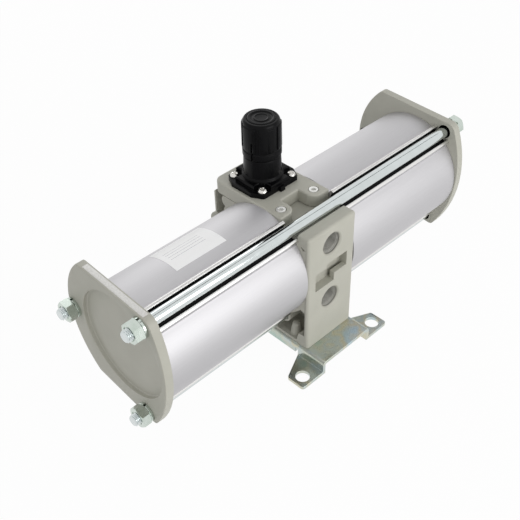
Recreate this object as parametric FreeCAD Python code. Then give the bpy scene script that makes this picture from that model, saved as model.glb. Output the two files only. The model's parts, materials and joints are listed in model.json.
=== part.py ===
"""Air pressure booster: two opposed cylinders on one centre body, with a pressure regulator on top.

The cylinders lie along X. The port face looks towards -Y. The feet stand on Z = 0 and the origin
is the middle of the footprint. All lengths are in millimetres.
"""
import FreeCAD
import Part
import math
import os

V = FreeCAD.Vector

# Overall arrangement
axis_height = 94.0
cover_face_reach = 186.65
tie_rod_reach = 202.0
body_width = 59.0

# Cylinders and pistons
bore_diameter = 100.0
tube_wall = 3.1
spigot_clearance = 0.1
cover_spigot_length = 8.0
body_spigot_length = 5.0
piston_thickness = 18.0
piston_stroke = 106.0
piston_gap = 0.35
running_gap = 0.05
piston_rod_diameter = 20.0
piston_rod_end_diameter = 14.0
rod_bush_wall = 4.0
rod_seal_length = 6.0
rod_seal_rim = 0.3
piston_nut_flats = 22.0
piston_nut_height = 8.0
piston_seal_width = 6.0
wear_ring_width = 5.0
piston_groove_depth = 4.0
piston_seal_offset = 5.0
wear_ring_offset = 13.0
ring_side_gap = 0.1
piston_nut_clearance = 2.0
o_ring_section = 1.9
o_ring_groove_width = 2.4

# Tie rods, their nuts and spring washers
tie_rod_diameter = 10.5
tie_rod_hole_gap = 0.35
thread_gap = 0.03
tie_rod_circle = 59.9
tie_rod_centre_y = 0.9
tie_rod_centre_rise = 0.9
tie_rod_turn = 6.0
tie_rod_count = 3
nut_flats = 17.0
nut_height = 8.2
washer_thickness = 2.6
washer_width = 3.4
washer_split = 1.0
nut_turn_step = 11.0
nut_corner_cut = 0.8
thread_end_chamfer = 1.2

# End covers
cover_thickness = 8.0
cover_top_reach = 61.0
cover_top_slope = 2.6
cover_back_radius = 78.5
cover_back_centre_y = -10.2
cover_back_rise = 5.8
cover_front_reach = 54.4
cover_front_radius = 121.0
cover_bottom_reach = 58.3
cover_bottom_slope = 6.5
cover_top_corner = 9.0
cover_foot_corner = 5.0
cover_heel_corner = 7.0
cover_back_corner = 5.0
cover_recess_radius = 49.0
cover_recess_y = -1.5
cover_recess_rise = 6.5
cover_recess_depth = 4.0
cover_recess_rounding = 1.4
nut_pad_margin = 2.2
cover_edge_rounding = 0.8

# Centre body casting
block_front_reach = 53.0
block_top_rise = 5.3
block_top_depth = 13.0
deck_rise = 41.0
body_back_reach = 62.4
body_foot_reach = 53.0
rod_boss_radius = 9.4
body_corner_rounding = 3.0
pocket_depth = 27.0
upper_pocket_depth = 23.0
lower_pocket_drop = 34.2
upper_pocket_roof = 2.2
back_window_rise = 10.0
pocket_wall = 3.2
back_wall = 2.2
seat_ring_radius = 56.5
pocket_floor = 18.4
rod_boss_margin = 1.0
lower_rod_boss_radius = 7.8
port_boss_wall = 3.0
scallop_radius = 6.8
scallop_y = 45.8
scallop_drop = 4.5
scallop_step = 11.0

# Ports and the stepped window between them
port_upper_rise = 27.4
port_lower_drop = 33.6
port_thread_diameter = 20.4
port_thread_depth = 20.0
port_chamfer = 1.6
passage_diameter = 9.0
window_half_width = 19.8
window_bottom_drop = 15.4
window_top_rise = 3.6
window_step_rise = 4.2
window_step_x = -6.0
window_depth = 8.5
window_tab_left = 3.7
window_tab_height = 8.0
window_tab_depth = 3.0

# Valve housing on the deck
gasket_thickness = 0.5
housing_height = 12.5
housing_rounding = 1.6
housing_back_corner = 8.0
housing_front = -3.0
gasket_inset = 0.8
lug_x = 20.0
lug_y = -12.0
lug_radius = 9.5
housing_screw_diameter = 5.0
housing_screw_head = 8.5
housing_screw_head_height = 5.0
housing_screw_length = 22.0
screw_head_gap = 0.5

# Regulator
regulator_x = 0.0
regulator_y = 29.8
flange_edge_x = 8.75
flange_edge_y = 4.95
flange_corner_x = 5.7
flange_corner_y = 10.4
flange_corner_rounding = 2.0
flange_tab_half_width = 2.6
flange_tab_reach = 2.6
screw_seat_thickness = 4.5
flange_thickness = 8.5
flange_body_edge = 4.45
flange_scallop_radius = 7.2
flange_screw_pitch = 34.9
flange_screw_diameter = 5.0
flange_screw_head = 8.0
flange_screw_head_height = 2.9
flange_screw_length = 12.0
screw_hole_gap = 0.3
bonnet_radius = 16.3
bonnet_foot_radius = 18.2
bonnet_height = 19.8
bonnet_neck_radius = 14.0
bonnet_neck_height = 14.0
bonnet_bore_radius = 12.0
bonnet_roof = 6.0
knob_radius = 16.2
knob_pad_radius = 17.3
knob_pad_count = 6
knob_pad_angle = 47.0
knob_pad_turn = 219.0
knob_ring_radius = 17.0
knob_ring_height = 6.2
knob_slit_width = 1.2
knob_slit_height = 17.0
knob_slit_turn = 195.0
knob_height = 33.8
knob_rim_radius = 14.6
knob_roof = 5.0
knob_lift = 3.5
knob_foot_gap = 0.4
knob_neck_gap = 0.3
cap_radius = 12.4
cap_thickness = 2.0
cap_dish_radius = 9.6
adjusting_screw_diameter = 8.0
adjusting_collar_radius = 7.0
adjusting_collar_height = 3.2
collar_gap = 0.3
drive_hex_flats = 12.0
drive_hex_height = 9.0
drive_gap = 0.1
drive_wall = 1.8
spring_seat_thickness = 5.0
spring_seat_travel = 5.0
spring_seat_gap = 1.2
seat_key_width = 3.0
seat_key_depth = 1.2
regulating_spring_wire = 2.6
regulating_spring_turns = 6
regulating_spring_margin = 2.1

# Governor valve under the regulator
governor_bore_radius = 15.0
governor_bore_depth = 7.4
governor_piston_thickness = 5.0
governor_stem_diameter = 5.0
governor_travel = 1.2
governor_piston_drop = 1.0
governor_seal_width = 2.0
governor_seal_depth = 2.2
stem_socket_depth = 3.0
poppet_seat_gap = 0.1
poppet_bore_radius = 8.0
poppet_bore_depth = 23.0
poppet_radius = 6.0
poppet_thickness = 4.0
poppet_seat_radius = 4.0
poppet_spring_wire = 1.2
poppet_spring_turns = 5

# Changeover valve
changeover_y = 24.0
changeover_drop = 18.0
sleeve_outer_radius = 11.0
spool_radius = 6.0
spool_waist_radius = 4.0
spool_pin_radius = 2.5
spool_travel = 2.5
spool_pin_rest = 2.6
spool_end_gap = 0.6
guide_length = 4.0
guide_gap = 0.1
sleeve_slot_width = 4.0
sleeve_slot_depth = 1.5
sleeve_port_radius = 1.6

# Check valves
check_valve_y = -22.0
check_valve_rise = 24.0
check_bore_radius = 9.0
check_bore_depth = 21.5
check_rim = 0.3
check_seat_thickness = 2.0
check_seat_radius = 5.0
check_seat_gap = 0.1
check_poppet_radius = 7.0
check_poppet_thickness = 3.0
check_stem_radius = 2.0
check_stem_rest = 1.0
check_travel = 2.0
check_guide_thickness = 2.2
check_guide_hole_radius = 1.8
check_guide_hole_circle = 5.4
check_guide_holes = 4
check_spring_wire = 0.9
check_spring_margin = 1.4
check_spring_gap = 0.3
check_spring_turns = 3
fit_gap = 0.03

# Foot bracket
sheet_thickness = 3.2
foot_plate_top = 14.8
foot_half_width = 31.7
foot_half_length = 75.0
ear_half_span = 58.0
ear_end_length = 19.0
ear_root_length = 31.5
skirt_foot_gap = 4.6
relief_width = 3.0
foot_hole_diameter = 13.0
foot_pitch_x = 96.0
foot_pitch_y = 130.0
foot_corner_rounding = 3.0
foot_screw_x = 22.0
foot_screw_y = 32.5
foot_screw_diameter = 6.0
foot_screw_head = 10.0
foot_screw_head_height = 6.0
foot_screw_length = 12.0
foot_screw_hole_gap = 0.5
foot_boss_radius = 4.8
foot_boss_height = 14.5

# Sizes that follow from the ones above
bore_radius = bore_diameter / 2
tube_outer_radius = bore_radius + tube_wall
half_body = body_width / 2
cover_inner_face = cover_face_reach - cover_thickness
cover_spigot_face = cover_inner_face - cover_spigot_length
body_spigot_face = half_body + body_spigot_length
spigot_radius = bore_radius - spigot_clearance
chamber_middle = (cover_spigot_face + body_spigot_face) / 2
piston_radius = bore_radius - piston_gap
deck_height = axis_height + deck_rise
port_upper_height = axis_height + port_upper_rise
port_lower_height = axis_height - port_lower_drop
window_bottom = axis_height - window_bottom_drop
window_top = axis_height + window_top_rise
window_raised_top = window_top + window_step_rise
block_top = deck_height + block_top_rise
housing_top = deck_height + housing_height
housing_floor = deck_height + gasket_thickness
flange_half_x = flange_screw_pitch / 2 + flange_edge_x
flange_half_y = flange_screw_pitch / 2 + flange_edge_y
flange_body_half = flange_screw_pitch / 2 + flange_body_edge
screw_seat = housing_top + screw_seat_thickness
flange_top = housing_top + flange_thickness
bonnet_shoulder = flange_top + bonnet_height
bonnet_top = bonnet_shoulder + bonnet_neck_height
knob_foot = bonnet_shoulder + knob_foot_gap
knob_top = knob_foot + knob_height
changeover_z = axis_height - changeover_drop
rod_bush_radius = piston_rod_diameter / 2 + rod_bush_wall
housing_screw_tip = housing_top - housing_screw_head_height - housing_screw_length
spring_seat_low = bonnet_top - bonnet_roof - adjusting_collar_height - spring_seat_gap - spring_seat_thickness
governor_piston_top = housing_top - governor_piston_drop
governor_piston_low = governor_piston_top - governor_piston_thickness
poppet_top = housing_floor - poppet_seat_gap
check_floor = body_spigot_face - check_bore_depth
check_outer_stop = body_spigot_face - check_rim
washer_outer_radius = tie_rod_diameter / 2 + tie_rod_hole_gap + washer_width
foot_plate_underside = foot_plate_top - sheet_thickness


def bar_x(radius, x0, x1, y, z):
    """Round bar along X between x0 and x1."""
    return Part.makeCylinder(radius, x1 - x0, V(x0, y, z), V(1, 0, 0))


def bar_z(radius, z0, z1, x, y):
    """Round bar along Z between z0 and z1."""
    return Part.makeCylinder(radius, z1 - z0, V(x, y, z0), V(0, 0, 1))


def upright(radius, z0, z1):
    """Round bar on the regulator's axis between z0 and z1."""
    return bar_z(radius, z0, z1, regulator_x, regulator_y)


def ring_x(outer, inner, x0, x1, y, z):
    """Plain ring along X."""
    return bar_x(outer, x0, x1, y, z).cut(bar_x(inner, x0, x1, y, z))


def ring_z(outer, inner, z0, z1, x, y):
    """Plain ring along Z."""
    return bar_z(outer, z0, z1, x, y).cut(bar_z(inner, z0, z1, x, y))


def block(x0, x1, y0, y1, z0, z1):
    """Rectangular block between two corners."""
    return Part.makeBox(x1 - x0, y1 - y0, z1 - z0, V(x0, y0, z0))


def prism_x(points, x0, x1):
    """Closed outline of (y, z) points pushed along X from x0 to x1."""
    corners = [V(x0, y, z) for y, z in points]
    outline = Part.makePolygon(corners + corners[:1])
    return Part.Face(outline).extrude(V(x1 - x0, 0, 0))


def prism_z(points, z0, z1):
    """Closed outline of (x, y) points pushed up from z0 to z1."""
    corners = [V(x, y, z0) for x, y in points]
    outline = Part.makePolygon(corners + corners[:1])
    return Part.Face(outline).extrude(V(0, 0, z1 - z0))


def turned_z(points, x, y):
    """Closed outline of (radius, z) points turned about the upright line through (x, y)."""
    corners = [V(x + radius, y, z) for radius, z in points]
    outline = Part.makePolygon(corners + corners[:1])
    return Part.Face(outline).revolve(V(x, y, 0), V(0, 0, 1), 360)


def hexagon_x(flats, x0, x1, y, z, turn=0.0):
    """Hexagonal bar along X, measured across its flats."""
    corner = flats / math.sqrt(3)
    points = []
    for step in range(6):
        angle = math.radians(60 * step + turn)
        points.append((y + corner * math.cos(angle), z + corner * math.sin(angle)))
    return prism_x(points, x0, x1)


def hexagon_z(flats, z0, z1, x, y):
    """Hexagonal bar along Z, measured across its flats."""
    corner = flats / math.sqrt(3)
    points = []
    for step in range(6):
        angle = math.radians(60 * step)
        points.append((x + corner * math.cos(angle), y + corner * math.sin(angle)))
    return prism_z(points, z0, z1)


def coil(wire_diameter, mean_radius, base, axis, length, turns):
    """Round wire wound as a helix that fills the given length from end to end."""
    rise = length - wire_diameter
    helix = Part.makeHelix(rise / turns, rise, mean_radius)
    section = Part.makeCircle(wire_diameter / 2, V(mean_radius, 0, 0), V(0, 1, 0))
    spring = Part.Wire(helix.Edges).makePipeShell([Part.Wire(section)], True, True)
    start = base + axis * (wire_diameter / 2)
    spring.Placement = FreeCAD.Placement(start, FreeCAD.Rotation(V(0, 0, 1), axis))
    return spring


def edges_along(shape, axis, chosen=lambda middle: True):
    """Straight edges parallel to an axis whose middle point passes the test."""
    found = []
    for edge in shape.Edges:
        if edge.Curve.TypeId != "Part::GeomLine":
            continue
        run = edge.Vertexes[-1].Point - edge.Vertexes[0].Point
        if abs(run.normalize().dot(axis)) > 0.999 and chosen(edge.CenterOfMass):
            found.append(edge)
    return found


def tie_rod_places():
    """Where the tie rods cross the YZ plane: back, top front and bottom front."""
    places = []
    for step in range(tie_rod_count):
        angle = math.radians(tie_rod_turn + 360 * step / tie_rod_count)
        y = tie_rod_centre_y + tie_rod_circle * math.cos(angle)
        z = axis_height + tie_rod_centre_rise + tie_rod_circle * math.sin(angle)
        places.append((y, z))
    return places


def tie_rod_holes(x0, x1):
    """Clearance holes for all tie rods between x0 and x1."""
    radius = tie_rod_diameter / 2 + tie_rod_hole_gap
    return [bar_x(radius, x0, x1, y, z) for y, z in tie_rod_places()]


def o_ring(x, outer):
    """Ring of round section along X that fills a groove under the given radius."""
    half = o_ring_section / 2
    return Part.makeTorus(outer - half, half - fit_gap, V(x, 0, axis_height), V(1, 0, 0))


def o_ring_groove(x, outer):
    """Groove cut for one O-ring."""
    depth = outer - o_ring_section
    return ring_x(outer + 1, depth, x - o_ring_groove_width / 2, x + o_ring_groove_width / 2, 0, axis_height)


def arc_meets_line(centre, radius, point, direction, forward):
    """Where a circle meets a line, taking the crossing that lies forward or backward on the line."""
    offset = V(point).sub(centre)
    middle = -offset.dot(direction)
    half = math.sqrt(radius ** 2 - (offset.dot(offset) - middle ** 2))
    return V(point).add(V(direction).multiply(middle + half if forward else middle - half))


def cover_outline(x):
    """Cover outline: nearly flat top, bulging front, sloping bottom and a round back."""
    turn = math.radians(180 + tie_rod_turn)
    axis = V(x, 0, axis_height)
    front_centre = axis + V(0, math.cos(turn), math.sin(turn)) * (cover_front_reach - cover_front_radius)
    back_centre = axis + V(0, cover_back_centre_y, cover_back_rise)
    slope = math.radians(cover_bottom_slope)
    bottom_run = V(0, math.cos(slope), math.sin(slope))
    bottom_point = axis + V(0, math.sin(slope), -math.cos(slope)) * cover_bottom_reach
    lean = math.radians(cover_top_slope)
    top_run = V(0, math.cos(lean), math.sin(lean))
    top_point = axis + V(0, -math.sin(lean), math.cos(lean)) * cover_top_reach
    top_front = arc_meets_line(front_centre, cover_front_radius, top_point, top_run, False)
    top_back = arc_meets_line(back_centre, cover_back_radius, top_point, top_run, True)
    bottom_front = arc_meets_line(front_centre, cover_front_radius, bottom_point, bottom_run, False)
    bottom_back = arc_meets_line(back_centre, cover_back_radius, bottom_point, bottom_run, True)
    front_middle = axis + V(0, math.cos(turn), math.sin(turn)) * cover_front_reach
    back_middle = back_centre + V(0, cover_back_radius, 0)
    edges = [
        Part.LineSegment(top_back, top_front).toShape(),
        Part.Arc(top_front, front_middle, bottom_front).toShape(),
        Part.LineSegment(bottom_front, bottom_back).toShape(),
        Part.Arc(bottom_back, back_middle, top_back).toShape(),
    ]
    corners = [
        (top_front, cover_top_corner),
        (bottom_front, cover_foot_corner),
        (bottom_back, cover_heel_corner),
        (top_back, cover_back_corner),
    ]
    return Part.Wire(edges), corners


def end_cover(side):
    """Cast end cover with a round recess outside and a spigot inside the tube."""
    outer = side * cover_face_reach
    outline, corners = cover_outline(outer)
    plate = Part.Face(outline).extrude(V(-side * cover_thickness, 0, 0))
    for corner, radius in corners:
        near = edges_along(plate, V(1, 0, 0),
                           lambda middle: math.hypot(middle.y - corner.y, middle.z - corner.z) < 1)
        plate = plate.makeFillet(radius, near)
    rim = [edge for edge in plate.Edges if abs(edge.CenterOfMass.x - outer) < 0.01]
    plate = plate.makeFillet(cover_edge_rounding, rim)
    recess_z = axis_height + cover_recess_rise
    recess = bar_x(cover_recess_radius, 0, cover_recess_depth, cover_recess_y, recess_z)
    for y, z in tie_rod_places():
        recess = recess.cut(bar_x(washer_outer_radius + nut_pad_margin, -1, cover_recess_depth + 1, y, z))
    floor = [edge for edge in recess.Edges if edge.BoundBox.XMin > cover_recess_depth - 0.01]
    recess = recess.makeFillet(cover_recess_rounding, floor)
    if side > 0:
        recess = recess.mirror(V(0, 0, 0), V(1, 0, 0))
    recess.translate(V(outer, 0, 0))
    plate = plate.cut(recess)
    low, high = sorted((side * cover_inner_face, side * cover_spigot_face))
    plate = plate.fuse(bar_x(spigot_radius, low, high, 0, axis_height))
    groove_x = side * (cover_inner_face - cover_spigot_length / 2)
    cuts = [o_ring_groove(groove_x, spigot_radius)]
    cuts += tie_rod_holes(*sorted((outer, side * cover_spigot_face)))
    return plate.cut(cuts)


def cylinder_tube(side):
    """Smooth aluminium tube from the centre body to the cover."""
    low, high = sorted((side * half_body, side * cover_inner_face))
    return ring_x(tube_outer_radius, bore_radius, low, high, 0, axis_height)


def tube_seals():
    """One O-ring at each end of each tube."""
    places = [cover_inner_face - cover_spigot_length / 2, half_body + body_spigot_length / 2]
    return [o_ring(side * x, spigot_radius) for side in (-1, 1) for x in places]


def tie_rod(y, z):
    """Tie rod with chamfered thread ends."""
    rod = bar_x(tie_rod_diameter / 2, -tie_rod_reach, tie_rod_reach, y, z)
    ends = [edge for edge in rod.Edges if edge.Closed]
    return rod.makeChamfer(thread_end_chamfer, ends)


def tie_rod_nuts(side):
    """Hexagon nuts with crowned outer corners."""
    nuts = []
    start = cover_face_reach + washer_thickness
    for number, (y, z) in enumerate(tie_rod_places()):
        low, high = sorted((side * start, side * (start + nut_height)))
        nut = hexagon_x(nut_flats, low, high, y, z, nut_turn_step * number)
        tip = nut_flats / math.sqrt(3) - nut_corner_cut
        crown = Part.makeCone(tip + 2 * nut_height, tip, nut_height, V(side * start, y, z), V(side, 0, 0))
        nut = nut.common(crown)
        nuts.append(nut.cut(bar_x(tie_rod_diameter / 2 + thread_gap, low, high, y, z)))
    return nuts


def spring_washers(side):
    """Split spring washers between the nuts and the cover."""
    washers = []
    inner = tie_rod_diameter / 2 + tie_rod_hole_gap
    for y, z in tie_rod_places():
        low, high = sorted((side * cover_face_reach, side * (cover_face_reach + washer_thickness)))
        washer = ring_x(washer_outer_radius, inner, low, high, y, z)
        half = washer_split / 2
        slot = block(low - 1, high + 1, y - half, y + half, z, z + washer_outer_radius + 1)
        washers.append(washer.cut(slot))
    return washers


def body_profile():
    """Outline of the centre body: port block in front, flat deck, and a round boss for the back tie rod."""
    return [
        (-block_front_reach, foot_plate_top),
        (-block_front_reach, block_top),
        (-block_front_reach + block_top_depth, block_top),
        (-block_front_reach + block_top_depth, deck_height),
        (body_back_reach, deck_height),
        (body_back_reach, axis_height),
        (body_foot_reach, axis_height - 16),
        (body_foot_reach, foot_plate_top),
    ]


def side_pocket(side, depth, points, keep):
    """Cast pocket in one side face, outside the tube seat, that leaves the bosses in keep standing."""
    low, high = sorted((side * (half_body - depth), side * (half_body + 1)))
    pocket = prism_x(points, low, high)
    pocket = pocket.cut(bar_x(seat_ring_radius, low, high, 0, axis_height))
    for y, z, radius in keep:
        pocket = pocket.cut(bar_x(radius, low, high, y, z))
    return pocket


def foot_boss(x, y):
    """Domed boss that stands in the lower pocket round a foot screw."""
    return turned_z(
        [
            (0, pocket_floor - 2),
            (foot_boss_radius + 0.6, pocket_floor - 2),
            (foot_boss_radius, pocket_floor + foot_boss_height * 0.3),
            (foot_boss_radius - 1.4, pocket_floor + foot_boss_height * 0.85),
            (0, pocket_floor + foot_boss_height),
        ],
        x,
        y,
    )


def port_bosses():
    """Walls that stay round both ports and their cross passages where the pockets come near them."""
    bosses = []
    reach = check_floor + passage_diameter
    for height in (port_upper_height, port_lower_height):
        radius = port_thread_diameter / 2 + port_boss_wall
        front = V(0, -block_front_reach, height)
        mouth = Part.makeCylinder(radius, port_thread_depth + port_boss_wall, front, V(0, 1, 0))
        passage = bar_x(passage_diameter / 2 + port_boss_wall, -reach, reach, check_valve_y, height)
        bosses += [mouth, passage]
    return bosses


def pockets(side):
    """All cast pockets in one side face of the centre body."""
    back, top_front, bottom_front = tie_rod_places()
    front_wall = -block_front_reach + pocket_wall + 0.9
    lower_roof = axis_height - lower_pocket_drop
    lower_front = [
        (front_wall, pocket_floor + 10.4),
        (front_wall, lower_roof - 3.0),
        (-40.7, lower_roof),
        (-8.0, lower_roof),
        (-8.0, pocket_floor),
        (-39.4, pocket_floor),
        (-42.0, pocket_floor + 9.6),
    ]
    slot_roof = deck_height - upper_pocket_roof
    upper_front = [(front_wall, slot_roof - 4.7), (-41.7, slot_roof - 7.9), (-36.0, slot_roof - 0.8),
                   (-39.0, slot_roof)]
    lower_back = [(12.0, pocket_floor), (12.0, lower_roof - 9.8),
                  (body_foot_reach - pocket_wall, lower_roof + 6.2),
                  (body_foot_reach - pocket_wall, pocket_floor)]
    window_sill = axis_height + back_window_rise
    upper_back = [(scallop_y, deck_height + 1), (body_back_reach - back_wall, deck_height + 1),
                  (body_back_reach - back_wall, window_sill), (scallop_y, window_sill)]
    rod_boss = (back[0], back[1], rod_boss_radius + rod_boss_margin)
    scallops = [(scallop_y, deck_height - scallop_drop, scallop_radius),
                (scallop_y - 2, deck_height - scallop_drop - scallop_step, scallop_radius)]
    lower_rod_boss = (bottom_front[0], bottom_front[1], lower_rod_boss_radius)
    cuts = [
        side_pocket(side, pocket_depth, lower_front, [lower_rod_boss]),
        side_pocket(side, upper_pocket_depth, upper_front, []),
        side_pocket(side, pocket_depth, lower_back, []),
        side_pocket(side, upper_pocket_depth, upper_back, [rod_boss] + scallops),
    ]
    pocket = cuts[0].fuse(cuts[1:])
    for y in (-foot_screw_y, foot_screw_y):
        pocket = pocket.cut(foot_boss(side * foot_screw_x, y))
    return pocket.cut(port_bosses())


def front_window():
    """Stepped window between the ports, with a tab left standing at its lower right."""
    front = -block_front_reach - 1
    back = -block_front_reach + window_depth
    opening = block(-window_half_width, window_half_width, front, back, window_bottom, window_top)
    raised = block(window_step_x, window_half_width, front, back, window_top - 1, window_raised_top)
    tab = block(window_tab_left, window_half_width + 1, front, back - window_tab_depth,
                window_bottom - 1, window_bottom + window_tab_height)
    return opening.fuse(raised).cut(tab)


def port(height):
    """Threaded port bored in from the front face, with its chamfer and cross passage."""
    front = -block_front_reach
    radius = port_thread_diameter / 2
    bore = Part.makeCylinder(radius, port_thread_depth, V(0, front, height), V(0, 1, 0))
    mouth = Part.makeCone(radius + port_chamfer, radius, port_chamfer, V(0, front, height), V(0, 1, 0))
    passage = Part.makeCylinder(passage_diameter / 2, port_thread_depth + 9, V(0, front, height), V(0, 1, 0))
    reach = check_floor
    link = bar_x(passage_diameter / 2, -reach - 1, reach + 1, check_valve_y, height)
    return bore.fuse([mouth, passage, link])


def check_valve_places():
    """Check valves open on both spigot faces, one pair above and one pair below the axis."""
    return [(side, rise) for rise in (check_valve_rise, -check_valve_rise) for side in (-1, 1)]


def check_valve_bore(side, rise):
    """Bore that holds one check valve, open towards the cylinder."""
    low, high = sorted((side * body_spigot_face, side * check_floor))
    return bar_x(check_bore_radius, low, high, check_valve_y, axis_height + rise)


def centre_body():
    """Centre casting with ports, tube spigots, valve bores and foot."""
    back, top_front, bottom_front = tie_rod_places()
    casting = prism_x(body_profile(), -half_body, half_body)
    casting = casting.fuse(bar_x(rod_boss_radius, -half_body, half_body, back[0], back[1])).removeSplitter()
    front_edges = edges_along(casting, V(0, 0, 1), lambda middle: middle.y < -block_front_reach + 0.1)
    top_edge = edges_along(casting, V(1, 0, 0),
                           lambda middle: middle.y < -block_front_reach + 0.1 and middle.z > axis_height)
    side_edges = edges_along(casting, V(0, 1, 0), lambda middle: middle.z > block_top - 0.1)
    casting = casting.makeFillet(body_corner_rounding, front_edges + top_edge + side_edges)
    spigots = [
        bar_x(spigot_radius, -body_spigot_face, -half_body, 0, axis_height),
        bar_x(spigot_radius, half_body, body_spigot_face, 0, axis_height),
    ]
    casting = casting.fuse(spigots)
    seal_x = half_body + body_spigot_length / 2
    cuts = [pockets(-1), pockets(1), front_window(), port(port_upper_height), port(port_lower_height)]
    cuts += [o_ring_groove(-seal_x, spigot_radius), o_ring_groove(seal_x, spigot_radius)]
    cuts += [check_valve_bore(side, rise) for side, rise in check_valve_places()]
    cuts += tie_rod_holes(-half_body, half_body)
    cuts.append(bar_x(rod_bush_radius, -body_spigot_face, body_spigot_face, 0, axis_height))
    cuts.append(bar_x(sleeve_outer_radius, -body_spigot_face, body_spigot_face, changeover_y, changeover_z))
    cuts.append(upright(poppet_bore_radius, deck_height - poppet_bore_depth, deck_height + 1))
    for x in (-lug_x, lug_x):
        cuts.append(bar_z(housing_screw_diameter / 2 + fit_gap, housing_screw_tip, deck_height + 1, x, lug_y))
    for x in (-foot_screw_x, foot_screw_x):
        for y in (-foot_screw_y, foot_screw_y):
            top = foot_plate_underside + foot_screw_length
            cuts.append(bar_z(foot_screw_diameter / 2 + fit_gap, foot_plate_top - 1, top, x, y))
    return casting.cut(cuts)


def housing_outline(inset):
    """Plan of the valve housing: a square back and two lugs in front, each rounded on its inner side."""
    side = half_body - inset
    front = housing_front + inset
    plate = block(-side, side, front, body_back_reach - inset, 0, 1)
    lug = lug_radius - inset
    for turn in (-1, 1):
        for inner, low_y, high_y in ((lug_x, lug_y - lug, lug_y), (lug_x - lug, lug_y, front)):
            low, high = sorted((turn * side, turn * inner))
            plate = plate.fuse(block(low, high, low_y, high_y, 0, 1))
        plate = plate.fuse(bar_z(lug, 0, 1, turn * lug_x, lug_y))
    return plate.removeSplitter()


def raised_outline(inset, z0, z1):
    """Plan of the valve housing stretched between two heights."""
    plan = housing_outline(inset)
    flat = [face for face in plan.Faces if abs(face.normalAt(0, 0).z) > 0.9]
    floor = min(flat, key=lambda face: face.CenterOfMass.z)
    solid = floor.extrude(V(0, 0, z1 - z0))
    solid.translate(V(0, 0, z0))
    return solid


def valve_housing():
    """Casting on the deck that carries the regulator and is held by two screws in its lugs."""
    casting = raised_outline(0, housing_floor, housing_top)
    back_edges = edges_along(casting, V(0, 0, 1), lambda middle: middle.y > body_back_reach - 0.1)
    casting = casting.makeFillet(housing_back_corner, back_edges)
    top_edges = [edge for edge in casting.Edges if edge.BoundBox.ZMin > housing_top - 0.01]
    casting = casting.makeFillet(housing_rounding, top_edges)
    cuts = [
        upright(governor_bore_radius, housing_top - governor_bore_depth, housing_top + 1),
        upright(poppet_seat_radius, housing_floor - 1, housing_top),
    ]
    shank_hole = housing_screw_diameter / 2 + screw_hole_gap
    for x in (-lug_x, lug_x):
        cuts.append(bar_z(shank_hole, housing_floor - 1, housing_top, x, lug_y))
        head_floor = housing_top - housing_screw_head_height
        cuts.append(bar_z(housing_screw_head / 2 + screw_head_gap, head_floor, housing_top + 1, x, lug_y))
    for x, y in flange_screw_places():
        tip = screw_seat - flange_screw_length
        cuts.append(bar_z(flange_screw_diameter / 2 + fit_gap, tip, housing_top + 1, x, y))
    return casting.cut(cuts)


def housing_gasket():
    """Flat gasket between the deck and the valve housing."""
    gasket = raised_outline(gasket_inset, deck_height, housing_floor)
    cuts = [upright(poppet_bore_radius, deck_height - 1, housing_floor + 1)]
    shank_hole = housing_screw_diameter / 2 + screw_hole_gap
    for x in (-lug_x, lug_x):
        cuts.append(bar_z(shank_hole, deck_height - 1, housing_floor + 1, x, lug_y))
    return gasket.cut(cuts)


def socket_screw(x, y, under_head, shank, head, head_height, length, up):
    """Socket head cap screw; its shank points down when up is 1 and up when up is -1."""
    parts = []
    top = under_head + up * head_height
    spans = ((shank / 2, under_head - up * length, under_head), (head / 2, under_head, top))
    for radius, start, stop in spans:
        low, high = sorted((start, stop))
        parts.append(bar_z(radius, low, high, x, y))
    screw = parts[0].fuse(parts[1])
    low, high = sorted((under_head + up * head_height * 0.45, under_head + up * (head_height + 1)))
    return screw.cut(hexagon_z(head * 0.47, low, high, x, y))


def housing_screws():
    """The two socket screws in the lugs, heads flush with the casting."""
    under_head = housing_top - housing_screw_head_height
    screws = []
    for x in (-lug_x, lug_x):
        screws.append(socket_screw(x, lug_y, under_head, housing_screw_diameter, housing_screw_head,
                                   housing_screw_head_height, housing_screw_length, 1))
    return screws


def foot_screws():
    """Four socket screws that hold the bracket to the body from below."""
    screws = []
    for x in (-foot_screw_x, foot_screw_x):
        for y in (-foot_screw_y, foot_screw_y):
            screws.append(socket_screw(x, y, foot_plate_underside, foot_screw_diameter, foot_screw_head,
                                       foot_screw_head_height, foot_screw_length, -1))
    return screws


def foot_ear(side_x, side_y):
    """Flat ear at one corner of the bracket, wide at its root and cut back to its end."""
    end = foot_half_length * side_y
    points = [
        (side_x * (foot_half_width - sheet_thickness), end),
        (side_x * ear_half_span, end),
        (side_x * ear_half_span, end - side_y * ear_end_length),
        (side_x * foot_half_width, end - side_y * ear_root_length),
        (side_x * (foot_half_width - sheet_thickness), end - side_y * ear_root_length),
    ]
    ear = prism_z(points, 0, sheet_thickness)
    tips = edges_along(ear, V(0, 0, 1), lambda middle: abs(middle.x) > ear_half_span - 0.1)
    ear = ear.makeFillet(foot_corner_rounding, tips)
    hole_x = side_x * foot_pitch_x / 2
    hole_y = side_y * foot_pitch_y / 2
    hole = bar_z(foot_hole_diameter / 2, -1, sheet_thickness + 1, hole_x, hole_y)
    return ear.cut(hole)


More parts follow.
